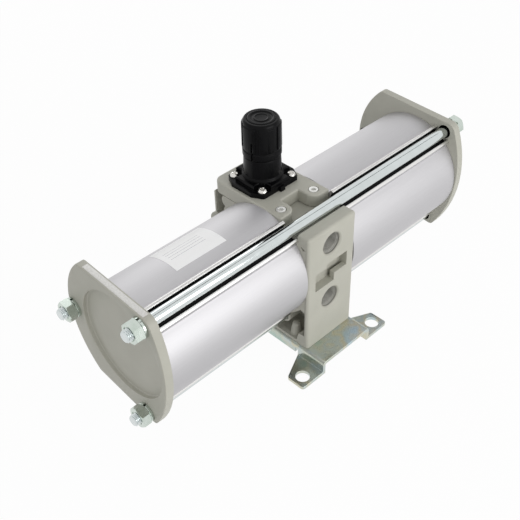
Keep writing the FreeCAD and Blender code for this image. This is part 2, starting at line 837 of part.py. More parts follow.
def foot_bracket():
    """Sheet bracket: a channel open below, with four ears turned out at its foot."""
    width = foot_half_width
    channel = block(-width, width, -foot_half_length, foot_half_length, 0, foot_plate_top)
    top_edges = edges_along(channel, V(0, 1, 0), lambda middle: middle.z > foot_plate_top - 0.1)
    channel = channel.makeFillet(sheet_thickness + 1, top_edges)
    inner = width - sheet_thickness
    hollow = block(-inner, inner, -foot_half_length - 1, foot_half_length + 1, -1, foot_plate_underside)
    hollow_edges = edges_along(hollow, V(0, 1, 0), lambda middle: middle.z > foot_plate_underside - 0.1)
    channel = channel.cut(hollow.makeFillet(1.0, hollow_edges))
    middle_length = foot_half_length - ear_root_length
    cuts = [block(-width - 1, width + 1, -middle_length, middle_length, -1, skirt_foot_gap)]
    for side in (-1, 1):
        low, high = sorted((side * (middle_length - relief_width), side * middle_length))
        cuts.append(block(-width - 1, width + 1, low, high, -1, foot_plate_underside - 1.5))
    ears = [foot_ear(x, y) for x in (-1, 1) for y in (-1, 1)]
    bracket = channel.cut(cuts).fuse(ears).removeSplitter()
    for x in (-foot_screw_x, foot_screw_x):
        for y in (-foot_screw_y, foot_screw_y):
            hole_radius = foot_screw_diameter / 2 + foot_screw_hole_gap
            bracket = bracket.cut(bar_z(hole_radius, 0, foot_plate_top + 1, x, y))
    return bracket


def piston_rod():
    """Rod through the centre body, stepped down at both ends for the pistons."""
    shoulder = chamber_middle - piston_thickness / 2
    end = shoulder + piston_thickness
    middle = bar_x(piston_rod_diameter / 2, -shoulder, shoulder, 0, axis_height)
    return middle.fuse(bar_x(piston_rod_end_diameter / 2, -end, end, 0, axis_height))


def piston(side):
    """Piston with a seal groove, a wear ring groove and a pocket for its nut."""
    inner = chamber_middle - piston_thickness / 2
    outer = inner + piston_thickness
    low, high = sorted((side * inner, side * outer))
    disc = bar_x(piston_radius, low, high, 0, axis_height)
    floor = piston_radius - piston_groove_depth
    cuts = []
    for offset, width in ((piston_seal_offset, piston_seal_width), (wear_ring_offset, wear_ring_width)):
        middle = inner + offset
        start, stop = sorted((side * (middle - width / 2), side * (middle + width / 2)))
        cuts.append(ring_x(piston_radius + 1, floor, start, stop, 0, axis_height))
    cuts.append(bar_x(piston_rod_end_diameter / 2 + fit_gap, low, high, 0, axis_height))
    start, stop = sorted((side * (outer - piston_nut_height), side * (outer + 1)))
    cuts.append(bar_x(piston_nut_flats / math.sqrt(3) + piston_nut_clearance, start, stop, 0, axis_height))
    return disc.cut(cuts)


def piston_rings(offset, width):
    """One ring in the same groove of each piston, running in the bore."""
    middle = chamber_middle - piston_thickness / 2 + offset
    floor = piston_radius - piston_groove_depth + fit_gap
    rings = []
    for side in (-1, 1):
        half = width / 2 - ring_side_gap
        start, stop = sorted((side * (middle - half), side * (middle + half)))
        rings.append(ring_x(bore_radius - running_gap, floor, start, stop, 0, axis_height))
    return rings


def piston_nuts():
    """Nuts that hold the pistons against the shoulders of the rod."""
    outer = chamber_middle + piston_thickness / 2
    nuts = []
    for side in (-1, 1):
        start, stop = sorted((side * (outer - piston_nut_height), side * outer))
        nut = hexagon_x(piston_nut_flats, start, stop, 0, axis_height)
        nuts.append(nut.cut(bar_x(piston_rod_end_diameter / 2 + thread_gap, start, stop, 0, axis_height)))
    return nuts


def rod_bush():
    """Bearing bush for the piston rod in the middle of the body."""
    length = body_spigot_face - rod_seal_length
    bore = piston_rod_diameter / 2 + running_gap
    return ring_x(rod_bush_radius - fit_gap, bore, -length, length, 0, axis_height)


def rod_seals():
    """Lip seal at each end of the rod bush."""
    seals = []
    for side in (-1, 1):
        inner = body_spigot_face - rod_seal_length + ring_side_gap
        low, high = sorted((side * inner, side * (body_spigot_face - rod_seal_rim)))
        bore = piston_rod_diameter / 2 + running_gap
        seals.append(ring_x(rod_bush_radius - fit_gap, bore, low, high, 0, axis_height))
    return seals


def changeover_sleeve():
    """Ported sleeve of the changeover valve."""
    length = body_spigot_face - guide_length
    outer = sleeve_outer_radius - fit_gap
    sleeve = ring_x(outer, spool_radius + running_gap, -length, length, changeover_y, changeover_z)
    half = sleeve_slot_width / 2
    for share in (-0.6, -0.2, 0.2, 0.6):
        x = length * share
        slot = ring_x(outer + 1, outer - sleeve_slot_depth, x - half, x + half, changeover_y, changeover_z)
        start = V(x, changeover_y - outer - 1, changeover_z)
        sleeve = sleeve.cut([slot, Part.makeCylinder(sleeve_port_radius, 2 * outer + 2, start, V(0, 1, 0))])
    return sleeve


def changeover_guides():
    """End guides that close the sleeve and carry the push pins."""
    guides = []
    bore = spool_pin_radius + running_gap
    for side in (-1, 1):
        inner = body_spigot_face - guide_length + guide_gap
        low, high = sorted((side * inner, side * body_spigot_face))
        guides.append(ring_x(sleeve_outer_radius - fit_gap, bore, low, high, changeover_y, changeover_z))
    return guides


def changeover_spool():
    """Spool with three lands and a push pin at each end."""
    length = body_spigot_face - guide_length - spool_travel - spool_end_gap
    spool = bar_x(spool_radius, -length, length, changeover_y, changeover_z)
    for side in (-1, 1):
        low, high = sorted((side * length * 0.25, side * length * 0.75))
        spool = spool.cut(ring_x(spool_radius + 1, spool_waist_radius, low, high, changeover_y, changeover_z))
    reach = body_spigot_face + spool_pin_rest
    return spool.fuse(bar_x(spool_pin_radius, -reach, reach, changeover_y, changeover_z))


def check_seat_span(rise):
    """Distances from the middle to both faces of a seat: deep for an inlet, shallow for an outlet."""
    start = check_floor if rise > 0 else check_outer_stop - check_seat_thickness
    return start, start + check_seat_thickness


def check_guide_span(rise):
    """Distances from the middle to both faces of the guide plate opposite the seat."""
    if rise > 0:
        return check_outer_stop - check_guide_thickness, check_outer_stop
    start = check_floor + check_travel + check_spring_gap
    return start, start + check_guide_thickness


def check_valve_seats():
    """Seat ring of each check valve: inner for the inlets, outer for the outlets."""
    seats = []
    for side, rise in check_valve_places():
        low, high = sorted(side * distance for distance in check_seat_span(rise))
        outer = check_bore_radius - fit_gap
        seats.append(ring_x(outer, check_seat_radius, low, high, check_valve_y, axis_height + rise))
    return seats


def check_valve_guides():
    """Guide plate opposite each seat, bored for the stem and drilled for the air."""
    guides = []
    for side, rise in check_valve_places():
        low, high = sorted(side * distance for distance in check_guide_span(rise))
        height = axis_height + rise
        bore = check_stem_radius + running_gap
        guide = ring_x(check_bore_radius - fit_gap, bore, low, high, check_valve_y, height)
        for step in range(check_guide_holes):
            angle = 2 * math.pi * (step + 0.5) / check_guide_holes
            y = check_valve_y + check_guide_hole_circle * math.cos(angle)
            z = height + check_guide_hole_circle * math.sin(angle)
            guide = guide.cut(bar_x(check_guide_hole_radius, low, high, y, z))
        guides.append(guide)
    return guides


def check_disc_span(rise):
    """Distances from the middle to the sealing face and the back of a poppet disc."""
    if rise > 0:
        face = check_seat_span(rise)[1] + check_seat_gap
        return face, face + check_poppet_thickness
    face = check_seat_span(rise)[0] - check_seat_gap
    return face, face - check_poppet_thickness


def check_poppet(side, rise):
    """Check valve poppet: a disc on the seat and a stem in the guide."""
    height = axis_height + rise
    face, back = check_disc_span(rise)
    stem_end = body_spigot_face - check_stem_rest if rise > 0 else check_guide_span(rise)[0]
    low, high = sorted((side * face, side * back))
    disc = bar_x(check_poppet_radius, low, high, check_valve_y, height)
    low, high = sorted((side * back, side * stem_end))
    return disc.fuse(bar_x(check_stem_radius, low, high, check_valve_y, height))


def check_spring(side, rise):
    """Light spring behind a poppet, drawn at its free length with the poppet's travel left clear."""
    back = check_disc_span(rise)[1]
    guide = check_guide_span(rise)[0] if rise > 0 else check_guide_span(rise)[1]
    room = check_travel + check_spring_gap
    far = guide - room if rise > 0 else guide + room
    low, high = sorted((side * back, side * far))
    base = V(low, check_valve_y, axis_height + rise)
    radius = check_stem_radius + check_spring_margin
    return coil(check_spring_wire, radius, base, V(1, 0, 0), high - low, check_spring_turns)


def flange_screw_places():
    """Corners of the square of screws round the regulator."""
    half = flange_screw_pitch / 2
    return [(regulator_x + x * half, regulator_y + y * half) for x in (-1, 1) for y in (-1, 1)]


def bonnet_flange():
    """Flange with cut corners, a small front tab, and a raised body scalloped round the screws."""
    half_x = flange_half_x
    half_y = flange_half_y
    corners = []
    for turn_x, turn_y in ((1, 1), (-1, 1), (-1, -1), (1, -1)):
        pair = [(half_x, half_y - flange_corner_y), (half_x - flange_corner_x, half_y)]
        if turn_x * turn_y < 0:
            pair.reverse()
        corners += [(regulator_x + turn_x * x, regulator_y + turn_y * y) for x, y in pair]
    plate = prism_z(corners, housing_top, screw_seat)
    plate = plate.makeFillet(flange_corner_rounding, edges_along(plate, V(0, 0, 1)))
    tab_front = regulator_y - half_y - flange_tab_reach
    tab = block(regulator_x - flange_tab_half_width, regulator_x + flange_tab_half_width,
                tab_front, regulator_y, housing_top, screw_seat)
    half = flange_body_half
    body = block(regulator_x - half, regulator_x + half, regulator_y - half, regulator_y + half,
                 housing_top, flange_top)
    for x, y in flange_screw_places():
        body = body.cut(bar_z(flange_scallop_radius, screw_seat, flange_top + 1, x, y))
        outer_x = x + math.copysign(half, x - regulator_x)
        outer_y = y + math.copysign(half, y - regulator_y)
        low_x, high_x = sorted((x, outer_x))
        low_y, high_y = sorted((y, outer_y))
        body = body.cut(block(low_x, high_x, low_y, high_y, housing_top, flange_top + 1))
    top_edges = [edge for edge in body.Edges if edge.BoundBox.ZMin > flange_top - 0.01]
    body = body.makeChamfer(0.6, top_edges)
    return plate.fuse([tab, body])


def regulator_bonnet():
    """Moulded bonnet: flange, round barrel and a neck for the knob."""
    barrel = turned_z(
        [
            (0, housing_top),
            (bonnet_foot_radius, housing_top),
            (bonnet_foot_radius, flange_top + 0.8),
            (bonnet_radius + 0.6, flange_top + 2.4),
            (bonnet_radius, bonnet_shoulder - 0.8),
            (bonnet_radius - 0.8, bonnet_shoulder),
            (bonnet_neck_radius, bonnet_shoulder),
            (bonnet_neck_radius, bonnet_top - 1),
            (bonnet_neck_radius - 1, bonnet_top),
            (0, bonnet_top),
        ],
        regulator_x,
        regulator_y,
    )
    bonnet = bonnet_flange().fuse(barrel)
    screw_hole = adjusting_screw_diameter / 2 + running_gap
    cuts = [
        upright(bonnet_bore_radius, housing_top - 1, bonnet_top - bonnet_roof),
        upright(screw_hole, housing_top, bonnet_top + 1),
    ]
    for x, y in flange_screw_places():
        cuts.append(bar_z(flange_screw_diameter / 2 + screw_hole_gap, housing_top - 1, flange_top + 1, x, y))
    half = (seat_key_width - screw_hole_gap) / 2
    wall = regulator_x - bonnet_bore_radius
    key = block(wall - 1, wall + seat_key_depth - drive_gap, regulator_y - half, regulator_y + half,
                flange_top, bonnet_top - bonnet_roof + 1)
    return bonnet.cut(cuts).fuse(key)


def flange_screws():
    """Four pan head screws that hold the bonnet."""
    screws = []
    radius = flange_screw_head / 2
    for x, y in flange_screw_places():
        top = screw_seat + flange_screw_head_height
        head = turned_z(
            [
                (0, screw_seat),
                (radius, screw_seat),
                (radius, screw_seat + flange_screw_head_height * 0.45),
                (radius * 0.78, screw_seat + flange_screw_head_height * 0.85),
                (radius * 0.45, top),
                (0, top),
            ],
            x,
            y,
        )
        shank = bar_z(flange_screw_diameter / 2, screw_seat - flange_screw_length, screw_seat, x, y)
        floor = screw_seat + flange_screw_head_height * 0.35
        long, short = radius * 0.5, radius * 0.13
        cross = block(x - long, x + long, y - short, y + short, floor, top + 1)
        cross = cross.fuse(block(x - short, x + short, y - long, y + long, floor, top + 1))
        screws.append(head.fuse(shank).cut(cross))
    return screws


def adjusting_screw():
    """Adjusting screw: threaded shank, collar under the bonnet roof and hexagon drive above it."""
    radius = adjusting_screw_diameter / 2
    collar_top = bonnet_top - bonnet_roof - collar_gap
    tip = spring_seat_low - spring_seat_travel - spring_seat_gap
    drive_low = bonnet_top + collar_gap
    shank = upright(radius, tip, drive_low)
    collar = upright(adjusting_collar_radius, collar_top - adjusting_collar_height, collar_top)
    drive = hexagon_z(drive_hex_flats, drive_low, drive_low + drive_hex_height, regulator_x, regulator_y)
    return shank.fuse([collar, drive])


def spring_seat():
    """Threaded seat that moves down on the adjusting screw and loads the regulating spring."""
    outer = bonnet_bore_radius - running_gap
    high = spring_seat_low + spring_seat_thickness
    bore = adjusting_screw_diameter / 2 + running_gap
    seat = ring_z(outer, bore, spring_seat_low, high, regulator_x, regulator_y)
    half = seat_key_width / 2
    key = block(regulator_x - outer - 1, regulator_x - outer + seat_key_depth, regulator_y - half,
                regulator_y + half, spring_seat_low - 1, high + 1)
    return seat.cut(key)


def governor_piston():
    """Governor piston under the regulating spring."""
    disc = upright(governor_bore_radius - piston_gap, governor_piston_low, governor_piston_top)
    middle = (governor_piston_low + governor_piston_top) / 2
    half = governor_seal_width / 2 + ring_side_gap
    floor = governor_bore_radius - governor_seal_depth
    groove = ring_z(governor_bore_radius + 1, floor, middle - half, middle + half, regulator_x, regulator_y)
    socket_top = governor_piston_low + stem_socket_depth
    socket = upright(governor_stem_diameter / 2 + fit_gap, governor_piston_low - 1, socket_top)
    return disc.cut([groove, socket])


def governor_seal():
    """Ring that seals the governor piston in its bore."""
    middle = (governor_piston_low + governor_piston_top) / 2
    half = governor_seal_width / 2
    floor = governor_bore_radius - governor_seal_depth + fit_gap
    outer = governor_bore_radius - running_gap
    return ring_z(outer, floor, middle - half, middle + half, regulator_x, regulator_y)


def governor_stem():
    """Valve stem with its poppet under the seat in the housing."""
    low = poppet_top - poppet_thickness
    stem = upright(governor_stem_diameter / 2, low, governor_piston_low + stem_socket_depth)
    return stem.fuse(upright(poppet_radius, low, poppet_top))


def governor_return_spring():
    """Spring under the governor poppet."""
    low = deck_height - poppet_bore_depth
    radius = poppet_radius - poppet_spring_wire
    length = poppet_top - poppet_thickness - low
    base = V(regulator_x, regulator_y, low)
    return coil(poppet_spring_wire, radius, base, V(0, 0, 1), length, poppet_spring_turns)


def regulating_spring():
    """Main spring between the spring seat and the governor piston."""
    base = V(regulator_x, regulator_y, governor_piston_top)
    radius = bonnet_bore_radius - regulating_spring_wire / 2 - regulating_spring_margin
    length = spring_seat_low - governor_piston_top
    return coil(regulating_spring_wire, radius, base, V(0, 0, 1), length, regulating_spring_turns)


def knob_pads():
    """Raised grip pads round the knob, each a swept piece of one profile."""
    low = knob_foot + knob_ring_height + 1.0
    profile = [
        (knob_radius - 2, low),
        (knob_pad_radius, low + 0.8),
        (knob_pad_radius - 0.2, knob_top - 4.0),
        (knob_radius - 2.4, knob_top - 1.6),
    ]
    corners = [V(regulator_x + radius, regulator_y, z) for radius, z in profile]
    face = Part.Face(Part.makePolygon(corners + corners[:1]))
    centre = V(regulator_x, regulator_y, 0)
    pads = []
    for step in range(knob_pad_count):
        pad = face.revolve(centre, V(0, 0, 1), knob_pad_angle)
        pad.rotate(centre, V(0, 0, 1), knob_pad_turn + 360 * step / knob_pad_count)
        pads.append(pad)
    return pads


def knob():
    """Pull-up locking knob: grip pads, slit lower ring, hollow for the neck and a socket for the drive."""
    centre = V(regulator_x, regulator_y, 0)
    ceiling = knob_top - knob_roof
    shell = turned_z(
        [
            (0, knob_foot),
            (knob_ring_radius - 0.4, knob_foot),
            (knob_ring_radius, knob_foot + 0.4),
            (knob_ring_radius, knob_foot + knob_ring_height - 0.6),
            (knob_radius, knob_foot + knob_ring_height),
            (knob_radius - 0.1, knob_top - 3.0),
            (knob_radius - 0.5, knob_top - 1.4),
            (knob_rim_radius, knob_top),
            (0, knob_top),
        ],
        regulator_x,
        regulator_y,
    )
    body = shell.fuse(knob_pads())
    hollow = upright(bonnet_neck_radius + knob_neck_gap, knob_foot - 1, ceiling)
    boss_low = bonnet_top + collar_gap + drive_gap
    boss = upright(drive_hex_flats / math.sqrt(3) + drive_wall, boss_low, ceiling)
    socket = hexagon_z(drive_hex_flats + 2 * drive_gap, bonnet_top, ceiling, regulator_x, regulator_y)
    seat = upright(cap_radius + ring_side_gap, knob_top - cap_thickness, knob_top + 1)
    cuts = [hollow.cut(boss), socket, seat]
    for step in range(2):
        half = knob_slit_width / 2
        slit = block(regulator_x, regulator_x + knob_pad_radius + 1, regulator_y - half, regulator_y + half,
                     knob_foot - 1, knob_foot + knob_slit_height)
        slit.rotate(centre, V(0, 0, 1), knob_slit_turn + 180 * step)
        cuts.append(slit)
    return body.cut(cuts)


def knob_cap():
    """Round cap set in the top of the knob, with a raised ring and a plain dished middle."""
    low = knob_top - cap_thickness
    return turned_z(
        [
            (0, low),
            (cap_radius, low),
            (cap_radius, knob_top - 0.2),
            (cap_radius - 0.6, knob_top + 0.4),
            (cap_dish_radius + 0.8, knob_top + 0.4),
            (cap_dish_radius, knob_top - 0.5),
            (cap_dish_radius - 1.2, knob_top - 0.5),
            (cap_dish_radius - 1.6, knob_top - 0.2),
            (0, knob_top),
        ],
        regulator_x,
        regulator_y,
    )


def save(name, solids):
    """Write one piece, or one group of like pieces, to its own file."""
    solids = solids if isinstance(solids, list) else [solids]
    flat = [solid for shape in solids for solid in shape.Solids]
    shape = flat[0] if len(flat) == 1 else Part.makeCompound(flat)
    shape.exportStep("parts/" + name + ".step")


def main():
    os.makedirs("parts", exist_ok=True)
    back, top_front, bottom_front = tie_rod_places()
    save("foot_bracket", foot_bracket())
    save("foot_screws", foot_screws())
    save("centre_body", centre_body())
    save("valve_housing", valve_housing())
    save("housing_gasket", housing_gasket())
    save("housing_screws", housing_screws())
    save("left_tube", cylinder_tube(-1))
    save("right_tube", cylinder_tube(1))
    save("left_end_cover", end_cover(-1))
    save("right_end_cover", end_cover(1))
    save("tube_seals", tube_seals())
    save("tie_rod_back", tie_rod(*back))
    save("tie_rod_top", tie_rod(*top_front))
    save("tie_rod_bottom", tie_rod(*bottom_front))
    save("left_nuts", tie_rod_nuts(-1))
    save("right_nuts", tie_rod_nuts(1))
    save("left_washers", spring_washers(-1))
    save("right_washers", spring_washers(1))
    save("piston_rod", piston_rod())
    save("left_piston", piston(-1))
    save("right_piston", piston(1))
    save("piston_seals", piston_rings(piston_seal_offset, piston_seal_width))
    save("wear_rings", piston_rings(wear_ring_offset, wear_ring_width))
    save("piston_nuts", piston_nuts())
    save("rod_bush", rod_bush())
    save("rod_seals", rod_seals())
    save("changeover_sleeve", changeover_sleeve())
    save("changeover_guides", changeover_guides())
    save("changeover_spool", changeover_spool())
    save("check_valve_seats", check_valve_seats())
    save("check_valve_guides", check_valve_guides())
    save("left_inlet_spring", check_spring(-1, check_valve_rise))
    save("right_inlet_spring", check_spring(1, check_valve_rise))
    save("left_outlet_spring", check_spring(-1, -check_valve_rise))
    save("right_outlet_spring", check_spring(1, -check_valve_rise))
    save("left_inlet_poppet", check_poppet(-1, check_valve_rise))
    save("right_inlet_poppet", check_poppet(1, check_valve_rise))
    save("left_outlet_poppet", check_poppet(-1, -check_valve_rise))
    save("right_outlet_poppet", check_poppet(1, -check_valve_rise))
    save("regulator_bonnet", regulator_bonnet())
    save("bonnet_screws", flange_screws())
    save("adjusting_screw", adjusting_screw())
    save("spring_seat", spring_seat())
    save("regulating_spring", regulating_spring())
    save("governor_piston", governor_piston())
    save("governor_seal", governor_seal())
    save("governor_stem", governor_stem())
    save("governor_spring", governor_return_spring())
    save("knob", knob())
    save("knob_cap", knob_cap())


main()
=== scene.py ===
"""Looks of the air pressure booster: two cylinders on one casting, a pressure regulator on top.

Metres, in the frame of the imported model: cylinders along X, ports towards -Y, feet on Z = 0.
"""
import json
import math
import bpy
import bmesh
import numpy as np
from mathutils import Matrix, Vector

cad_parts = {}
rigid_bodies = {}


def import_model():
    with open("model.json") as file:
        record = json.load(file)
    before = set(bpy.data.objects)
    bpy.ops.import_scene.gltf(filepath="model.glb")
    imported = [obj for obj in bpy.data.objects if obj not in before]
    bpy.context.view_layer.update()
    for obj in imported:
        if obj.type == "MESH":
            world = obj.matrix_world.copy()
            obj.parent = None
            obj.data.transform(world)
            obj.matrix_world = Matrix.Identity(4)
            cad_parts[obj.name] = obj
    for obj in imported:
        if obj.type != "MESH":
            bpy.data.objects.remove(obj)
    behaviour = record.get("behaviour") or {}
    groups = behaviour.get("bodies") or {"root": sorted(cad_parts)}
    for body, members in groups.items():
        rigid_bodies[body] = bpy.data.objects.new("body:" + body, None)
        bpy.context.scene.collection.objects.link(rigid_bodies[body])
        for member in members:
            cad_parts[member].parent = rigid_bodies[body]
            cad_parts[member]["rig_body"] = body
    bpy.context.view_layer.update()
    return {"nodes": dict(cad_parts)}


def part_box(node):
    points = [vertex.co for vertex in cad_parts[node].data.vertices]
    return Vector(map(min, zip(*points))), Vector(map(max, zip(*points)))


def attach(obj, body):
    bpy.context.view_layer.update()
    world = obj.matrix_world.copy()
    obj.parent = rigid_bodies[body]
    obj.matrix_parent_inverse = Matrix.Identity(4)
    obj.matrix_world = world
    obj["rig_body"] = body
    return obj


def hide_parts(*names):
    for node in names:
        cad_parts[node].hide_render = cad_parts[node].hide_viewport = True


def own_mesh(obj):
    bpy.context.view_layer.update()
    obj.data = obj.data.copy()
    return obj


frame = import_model()
nodes = frame["nodes"]
mm = 0.001

# The camera stands where the photograph was taken from: on the port side, left of the middle,
# 40 degrees up, with a lens of about 57 mm and a roll of just under 2 degrees.
azimuth, elevation, roll = (math.radians(angle) for angle in (-43.19, 40.30, -1.87))
camera_place = Vector((-0.41335, -0.40343, 0.56269))
picture_width, focal_length_in_pixels, sensor_width = 520, 826.19, 36
back = Vector((math.sin(azimuth) * math.cos(elevation),
               -math.cos(azimuth) * math.cos(elevation),
               math.sin(elevation)))
right = (-back).cross(Vector((0, 0, 1))).normalized()
up = right.cross(-back)
turned_right = right * math.cos(roll) + up * math.sin(roll)
turned_up = up * math.cos(roll) - right * math.sin(roll)
camera = bpy.data.objects.new("camera", bpy.data.cameras.new("camera"))
camera.data.sensor_width = sensor_width
camera.data.lens = focal_length_in_pixels / picture_width * sensor_width
camera.data.clip_end = 20
axes = Matrix((turned_right, turned_up, back)).transposed()
camera.matrix_world = Matrix.Translation(camera_place) @ axes.to_4x4()
bpy.context.scene.collection.objects.link(camera)
bpy.context.scene.camera = camera
bpy.context.scene.view_settings.view_transform = "Standard"


# The floor is a pale matt sheet in a white surround. The camera and the bright metal see it
# white, with only the soft shadow of the object left on it.
def linear(code):
    """Turn a colour written as sRGB hex into the linear values that a shader takes."""
    values = np.array([int(code[i:i + 2], 16) for i in (1, 3, 5)]) / 255
    return (*np.where(values <= 0.04045, values / 12.92, ((values + 0.055) / 1.055) ** 2.4), 1.0)


def add_node(tree, kind, settings=None, inputs=None, stops=None):
    """Add a node, set its settings, fill or link its inputs by name or number, and give a colour
    ramp its stops as pairs of position and hex colour."""
    node = tree.nodes.new(kind)
    for name, value in (settings or {}).items():
        setattr(node, name, value)
    for name, value in (inputs or {}).items():
        if isinstance(value, bpy.types.NodeSocket):
            tree.links.new(value, node.inputs[name])
        else:
            node.inputs[name].default_value = value
    for number, (position, code) in enumerate(stops or ()):
        elements = node.color_ramp.elements
        element = elements[number] if number < 2 else elements.new(position)
        element.position, element.color = position, linear(code)
    return node


def seen_directly(tree):
    """Value that is 1 for what the camera sees, also through glass or in a mirror, and 0 for the
    light that falls on something matt."""
    path = add_node(tree, "ShaderNodeLightPath")
    seen = path.outputs["Is Camera Ray"]
    for other in ("Is Glossy Ray", "Is Transmission Ray"):
        larger = add_node(tree, "ShaderNodeMath", {"operation": "MAXIMUM"},
                          {0: seen, 1: path.outputs[other]})
        seen = larger.outputs[0]
    return seen


floor_reach, white_share = 6, 0.96
floor_mesh = bpy.data.meshes.new("floor")
floor_corners = [(x * floor_reach, y * floor_reach, 0) for x, y in ((-1, -1), (1, -1), (1, 1), (-1, 1))]
floor_mesh.from_pydata(floor_corners, [], [(0, 1, 2, 3)])
floor = bpy.data.objects.new("floor", floor_mesh)
bpy.context.scene.collection.objects.link(floor)
floor_paper = bpy.data.materials.new("matt white backdrop paper")
floor_paper.use_nodes = True
tree = floor_paper.node_tree
tree.nodes.clear()
share = add_node(tree, "ShaderNodeMath", {"operation": "MULTIPLY"}, {0: seen_directly(tree), 1: white_share})
paper = add_node(tree, "ShaderNodeBsdfDiffuse", None, {"Color": linear("#E9E9E8")})
glow = add_node(tree, "ShaderNodeEmission", None, {"Color": linear("#FFFFFF"), "Strength": 1.0})
mixed = add_node(tree, "ShaderNodeMixShader", None,
                 {0: share.outputs[0], 1: paper.outputs[0], 2: glow.outputs[0]})
add_node(tree, "ShaderNodeOutputMaterial", None, {"Surface": mixed.outputs[0]})
floor.data.materials.append(floor_paper)


# Soft studio light: an even white surround and two upright softboxes, a broad one in front and
# a narrow one behind on the right. They draw the bright bands along the tubes.
world = bpy.data.worlds.new("studio surround")
bpy.context.scene.world = world
world.use_nodes = True
tree = world.node_tree
tree.nodes.clear()
even = add_node(tree, "ShaderNodeBackground", None, {"Color": linear("#FFFFFF"), "Strength": 0.66})
white = add_node(tree, "ShaderNodeBackground", None, {"Color": linear("#FFFFFF"), "Strength": 1.0})
mixed = add_node(tree, "ShaderNodeMixShader", None,
                 {0: seen_directly(tree), 1: even.outputs[0], 2: white.outputs[0]})
add_node(tree, "ShaderNodeOutputWorld", None, {"Surface": mixed.outputs[0]})
for name, place, target, size, power in (
    ("front softbox", (0.12, -1.34, 0.49), (-0.1, 0.0, 0.15), (1.04, 0.93), 8.8),
    ("back softbox", (0.62, 1.25, 0.72), (0.0, 0.0, 0.12), (0.55, 0.95), 2.0),
):
    lamp = bpy.data.lights.new(name, "AREA")
    lamp.shape, lamp.size, lamp.size_y, lamp.energy = "RECTANGLE", size[0], size[1], power
    holder = bpy.data.objects.new(name, lamp)
    holder.location = place
    holder.rotation_euler = (Vector(target) - Vector(place)).to_track_quat("-Z", "Y").to_euler()
    holder.visible_camera = False
    bpy.context.scene.collection.objects.link(holder)


# A dark card hangs overhead, between the two softboxes. Bright round metal, such as the tie
# rods, mirrors it as a thin dark line.
card_x, card_y, card_height = (0.2, 2.2), (-0.18, 0.02), 1.7
card_corners = [(card_x[i], card_y[j], card_height) for i, j in ((0, 0), (0, 1), (1, 1), (1, 0))]
card_mesh = bpy.data.meshes.new("overhead_card")
card_mesh.from_pydata(card_corners, [], [(0, 1, 2, 3)])
card = bpy.data.objects.new("overhead_card", card_mesh)
card.visible_camera = False
bpy.context.scene.collection.objects.link(card)
card_paper = bpy.data.materials.new("matt dark card")
card_paper.use_nodes = True
card_shader = card_paper.node_tree.nodes["Principled BSDF"]
card_shader.inputs["Base Color"].default_value = linear("#2C2C2C")
card_shader.inputs["Roughness"].default_value = 0.9
card_mesh.materials.append(card_paper)


# Foot bracket: one piece of sheet steel, sheared and bent down to four ears, then zinc plated
# and chromated. The chromate film shows faint teal, olive and blue tints.
def start_material(name, **values):
    """New material with a principled shader whose uniform sockets are set directly."""
    material = bpy.data.materials.new(name)
    material.use_nodes = True
    shader = material.node_tree.nodes["Principled BSDF"]
    for socket, value in values.items():
        shader.inputs[socket].default_value = value
    return material, material.node_tree, shader


def chromated_zinc():
    """Chromated zinc on sheet steel: metallic and satin, with tints that drift over about 25 mm
    and a fine rolling grain of 0.8 mm in its gloss."""
    material, tree, shader = start_material("chromated zinc on sheet steel", Metallic=1.0)
    where = add_node(tree, "ShaderNodeTexCoord").outputs["Object"]
    drift = add_node(tree, "ShaderNodeTexNoise", None,
                     {"Vector": where, "Scale": 1 / (24 * mm), "Detail": 2.0})
    tints = ((0.32, "#ACBFB7"), (0.44, "#C4C7BA"), (0.52, "#BDC7C5"), (0.60, "#CBC7B1"), (0.70, "#B5C7CD"))
    tint = add_node(tree, "ShaderNodeValToRGB", None, {"Fac": drift.outputs["Fac"]}, tints)
    grain = add_node(tree, "ShaderNodeTexNoise", None,
                     {"Vector": where, "Scale": 1 / (0.8 * mm), "Detail": 4.0})
    rough = add_node(tree, "ShaderNodeMapRange", None,
                     {"Value": grain.outputs["Fac"], "To Min": 0.22, "To Max": 0.36})
    lumps = add_node(tree, "ShaderNodeBump", None,
                     {"Height": grain.outputs["Fac"], "Strength": 0.10, "Distance": 0.05 * mm})
    tree.links.new(tint.outputs["Color"], shader.inputs["Base Color"])
    tree.links.new(rough.outputs[0], shader.inputs["Roughness"])
    tree.links.new(lumps.outputs[0], shader.inputs["Normal"])
    return material


def softened(node, name, width, material, steps=2, angle=28):
    """Copy of a CAD piece with its flat faces joined up, and with the edges that turn by more
    than the angle, in degrees, rounded by a bevel."""
    weld_distance, flat_within = 0.004 * mm, math.radians(0.6)
    mesh = nodes[node].data.copy()
    mesh.materials.clear()
    form = bmesh.new()
    form.from_mesh(mesh)
    bmesh.ops.remove_doubles(form, verts=form.verts, dist=weld_distance)
    bmesh.ops.dissolve_limit(form, angle_limit=flat_within, verts=form.verts, edges=form.edges)
    form.to_mesh(mesh)
    form.free()
    piece = bpy.data.objects.new(name, mesh)
    bpy.context.scene.collection.objects.link(piece)
    mesh.materials.append(material)
    mesh.shade_smooth()
    mesh.set_sharp_from_angle(angle=math.radians(angle))
    bevel = piece.modifiers.new("rounding", "BEVEL")
    bevel.width, bevel.segments, bevel.limit_method = width, steps, "ANGLE"
    bevel.angle_limit, bevel.use_clamp_overlap, bevel.harden_normals = math.radians(angle), False, True
    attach(piece, nodes[node]["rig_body"])
    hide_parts(node)
    return piece


softened("foot_bracket", "foot_bracket_sheet", 0.35 * mm, chromated_zinc())


